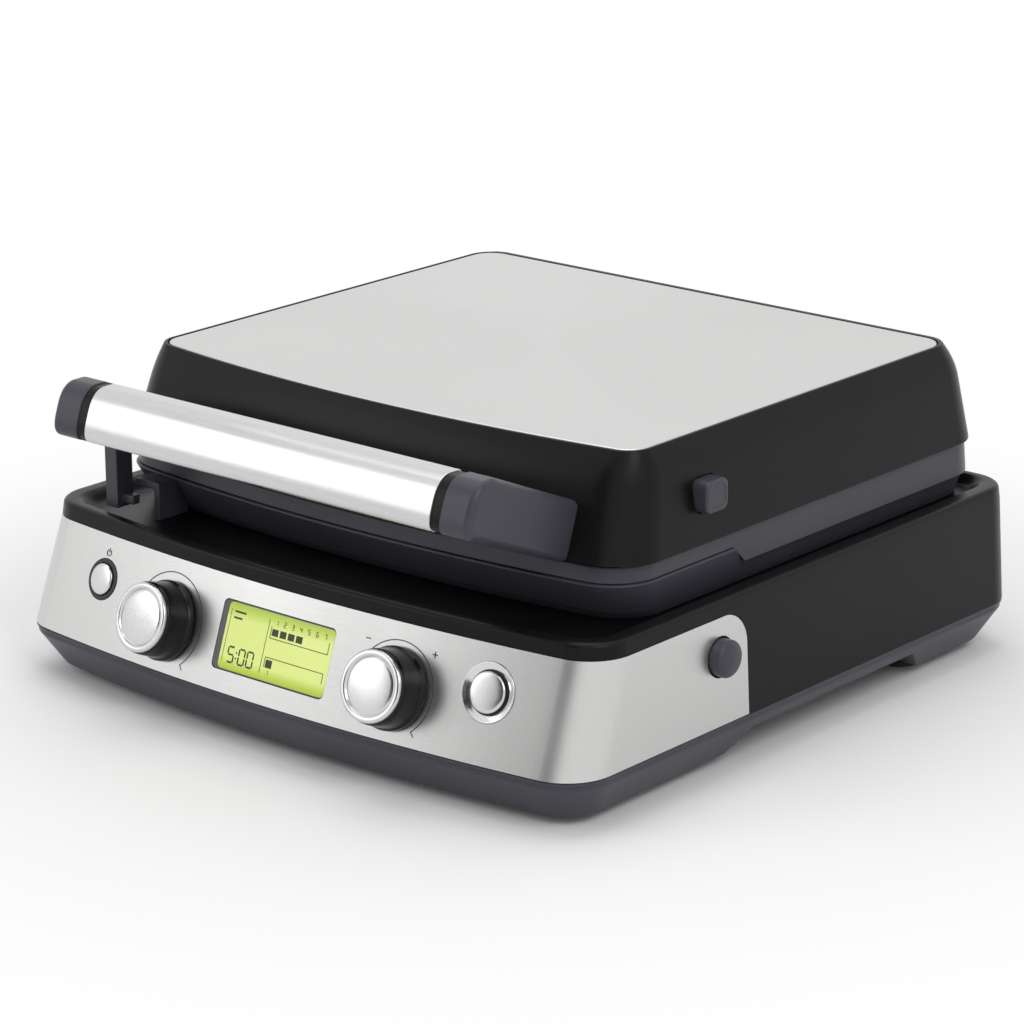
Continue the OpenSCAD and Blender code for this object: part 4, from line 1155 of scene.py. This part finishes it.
def maths(tree, operation, first, second):
    """A value worked out from two others."""
    made = tree.nodes.new("ShaderNodeMath")
    made.operation = operation
    tree.links.new(first, made.inputs[0])
    tree.links.new(second, made.inputs[1])
    return made.outputs["Value"]


def mixed(tree, share, first, second):
    """A mix of two shaders, all second where share is 1."""
    mix = tree.nodes.new("ShaderNodeMixShader")
    tree.links.new(share, mix.inputs["Fac"])
    tree.links.new(first, mix.inputs[1])
    tree.links.new(second, mix.inputs[2])
    return mix.outputs["Shader"]


def studio_floor():
    """A matt disc. Away from the object, the camera and reflections see it as plain white."""
    radius = 4000
    sides = 48
    turns = [2 * math.pi * i / sides for i in range(sides)]
    circle = [(radius * math.cos(t), radius * math.sin(t)) for t in turns]
    obj = loft("studio_floor", [[(x, y, z) for x, y in circle] for z in (-6, 0)])
    made, tree, shader = material("floor", (0.97, 0.97, 0.97), 0.9)
    shader.inputs["Specular IOR Level"].default_value = 0
    place = tree.nodes.new("ShaderNodeTexCoord")
    away = tree.nodes.new("ShaderNodeVectorMath")
    away.operation = "LENGTH"
    tree.links.new(place.outputs["Object"], away.inputs[0])
    fade = tree.nodes.new("ShaderNodeMapRange")
    fade.interpolation_type = "SMOOTHSTEP"
    fade.inputs["From Min"].default_value = 0.26
    fade.inputs["From Max"].default_value = 0.55
    tree.links.new(away.outputs["Value"], fade.inputs["Value"])
    light = tree.nodes.new("ShaderNodeEmission")
    light.inputs["Color"].default_value = (1, 1, 1, 1)
    path = tree.nodes.new("ShaderNodeLightPath")
    seen = maths(tree, "MAXIMUM", path.outputs["Is Camera Ray"], path.outputs["Is Glossy Ray"])
    share = maths(tree, "MULTIPLY", seen, fade.outputs["Result"])
    mix = mixed(tree, share, shader.outputs["BSDF"], light.outputs["Emission"])
    tree.links.new(mix, tree.nodes["Material Output"].inputs["Surface"])
    obj.data.materials.append(made)


def world():
    """Even light from all round, which the camera, reflections and glass see as plain white."""
    made = bpy.data.worlds.new("studio")
    made.use_nodes = True
    bpy.context.scene.world = made
    tree = made.node_tree
    ground = tree.nodes["Background"]
    ground.inputs["Color"].default_value = (1, 1, 1, 1)
    ground.inputs["Strength"].default_value = 0.62
    shown = tree.nodes.new("ShaderNodeBackground")
    shown.inputs["Color"].default_value = (1, 1, 1, 1)
    shown.inputs["Strength"].default_value = 1
    path = tree.nodes.new("ShaderNodeLightPath")
    seen = maths(tree, "MAXIMUM", path.outputs["Is Camera Ray"], path.outputs["Is Glossy Ray"])
    seen = maths(tree, "MAXIMUM", seen, path.outputs["Is Transmission Ray"])
    mix = mixed(tree, seen, ground.outputs["Background"], shown.outputs["Background"])
    tree.links.new(mix, tree.nodes["World Output"].inputs["Surface"])


def lamp(name, place, aim, size, power):
    """A square soft lamp at a place, turned towards its aim, in metres and watts."""
    light = bpy.data.lights.new(name, "AREA")
    light.size = size
    light.energy = power
    obj = bpy.data.objects.new(name, light)
    obj.location = place
    obj.rotation_euler = (Vector(aim) - Vector(place)).to_track_quat("-Z", "Y").to_euler()
    bpy.context.scene.collection.objects.link(obj)


def flag():
    """An unseen dark card ahead of the object, which the steel's corner reflects as a stripe."""
    corners = ((-950, -2600), (750, -2600), (750, -2590), (-950, -2590))
    obj = loft("flag", [[(x, y, z) for x, y in corners] for z in (350, 2200)])
    made, tree, shader = material("flag", (0.02, 0.02, 0.02), 0.9)
    tree.links.new(greys(tree, noise(tree, 3), 0.018, 0.024), shader.inputs["Base Color"])
    obj.data.materials.append(made)
    obj.visible_camera = False
    obj.visible_diffuse = False
    obj.visible_shadow = False


def lamps():
    """The three lamps of the studio."""
    lamp("key", (1.5, -0.6, 1.5), (0, 0, 0.08), 0.9, 9)
    lamp("top", (-0.3, 0.1, 2.0), (0, 0, 0.1), 1.6, 10)
    lamp("fill", (-1.3, -1.6, 0.9), (0, 0, 0.08), 1.0, 4)


def camera():
    """The photograph's view: azimuth, elevation, distance, target and roll fitted to the object."""
    azimuth = math.radians(40.4055)
    elevation = math.radians(17.5687)
    roll = math.radians(-0.155)
    distance = 2057.99
    target = Vector((-3.603, -3.42, 83.242))
    flat = math.cos(elevation)
    out = Vector((math.sin(azimuth) * flat, -math.cos(azimuth) * flat, math.sin(elevation)))
    data = bpy.data.cameras.new("camera")
    data.sensor_width = 36
    data.lens = 132.3
    obj = bpy.data.objects.new("camera", data)
    obj.location = (target + out * distance) * MM
    look = (-out).to_track_quat("-Z", "Y").to_matrix().to_4x4()
    obj.rotation_euler = (look @ Matrix.Rotation(roll, 4, "Z")).to_euler()
    bpy.context.scene.collection.objects.link(obj)
    bpy.context.scene.camera = obj


skirt()
feet()
housing()
steel_band()
lower_surround()
gland()
base_release()
knob(-1, "left_knob")
knob(1, "right_knob")
push_button(-1, "start_button", 8.5)
push_button(1, "texture_button", 10.5)
button_rings()
display()
display_marks()
knob_scale(-1, 26, "left_scale", False)
knob_scale(1, 24.5, "right_scale", True)
power_mark()
lid_cover()
lid_top()
upper_surround()
lid_release()
sleeve()
handle_ends()
inner_arms()
lock()
inside()
kept_nodes()
studio_floor()
world()
flag()
lamps()
camera()
bpy.context.scene.view_settings.view_transform = "Standard"
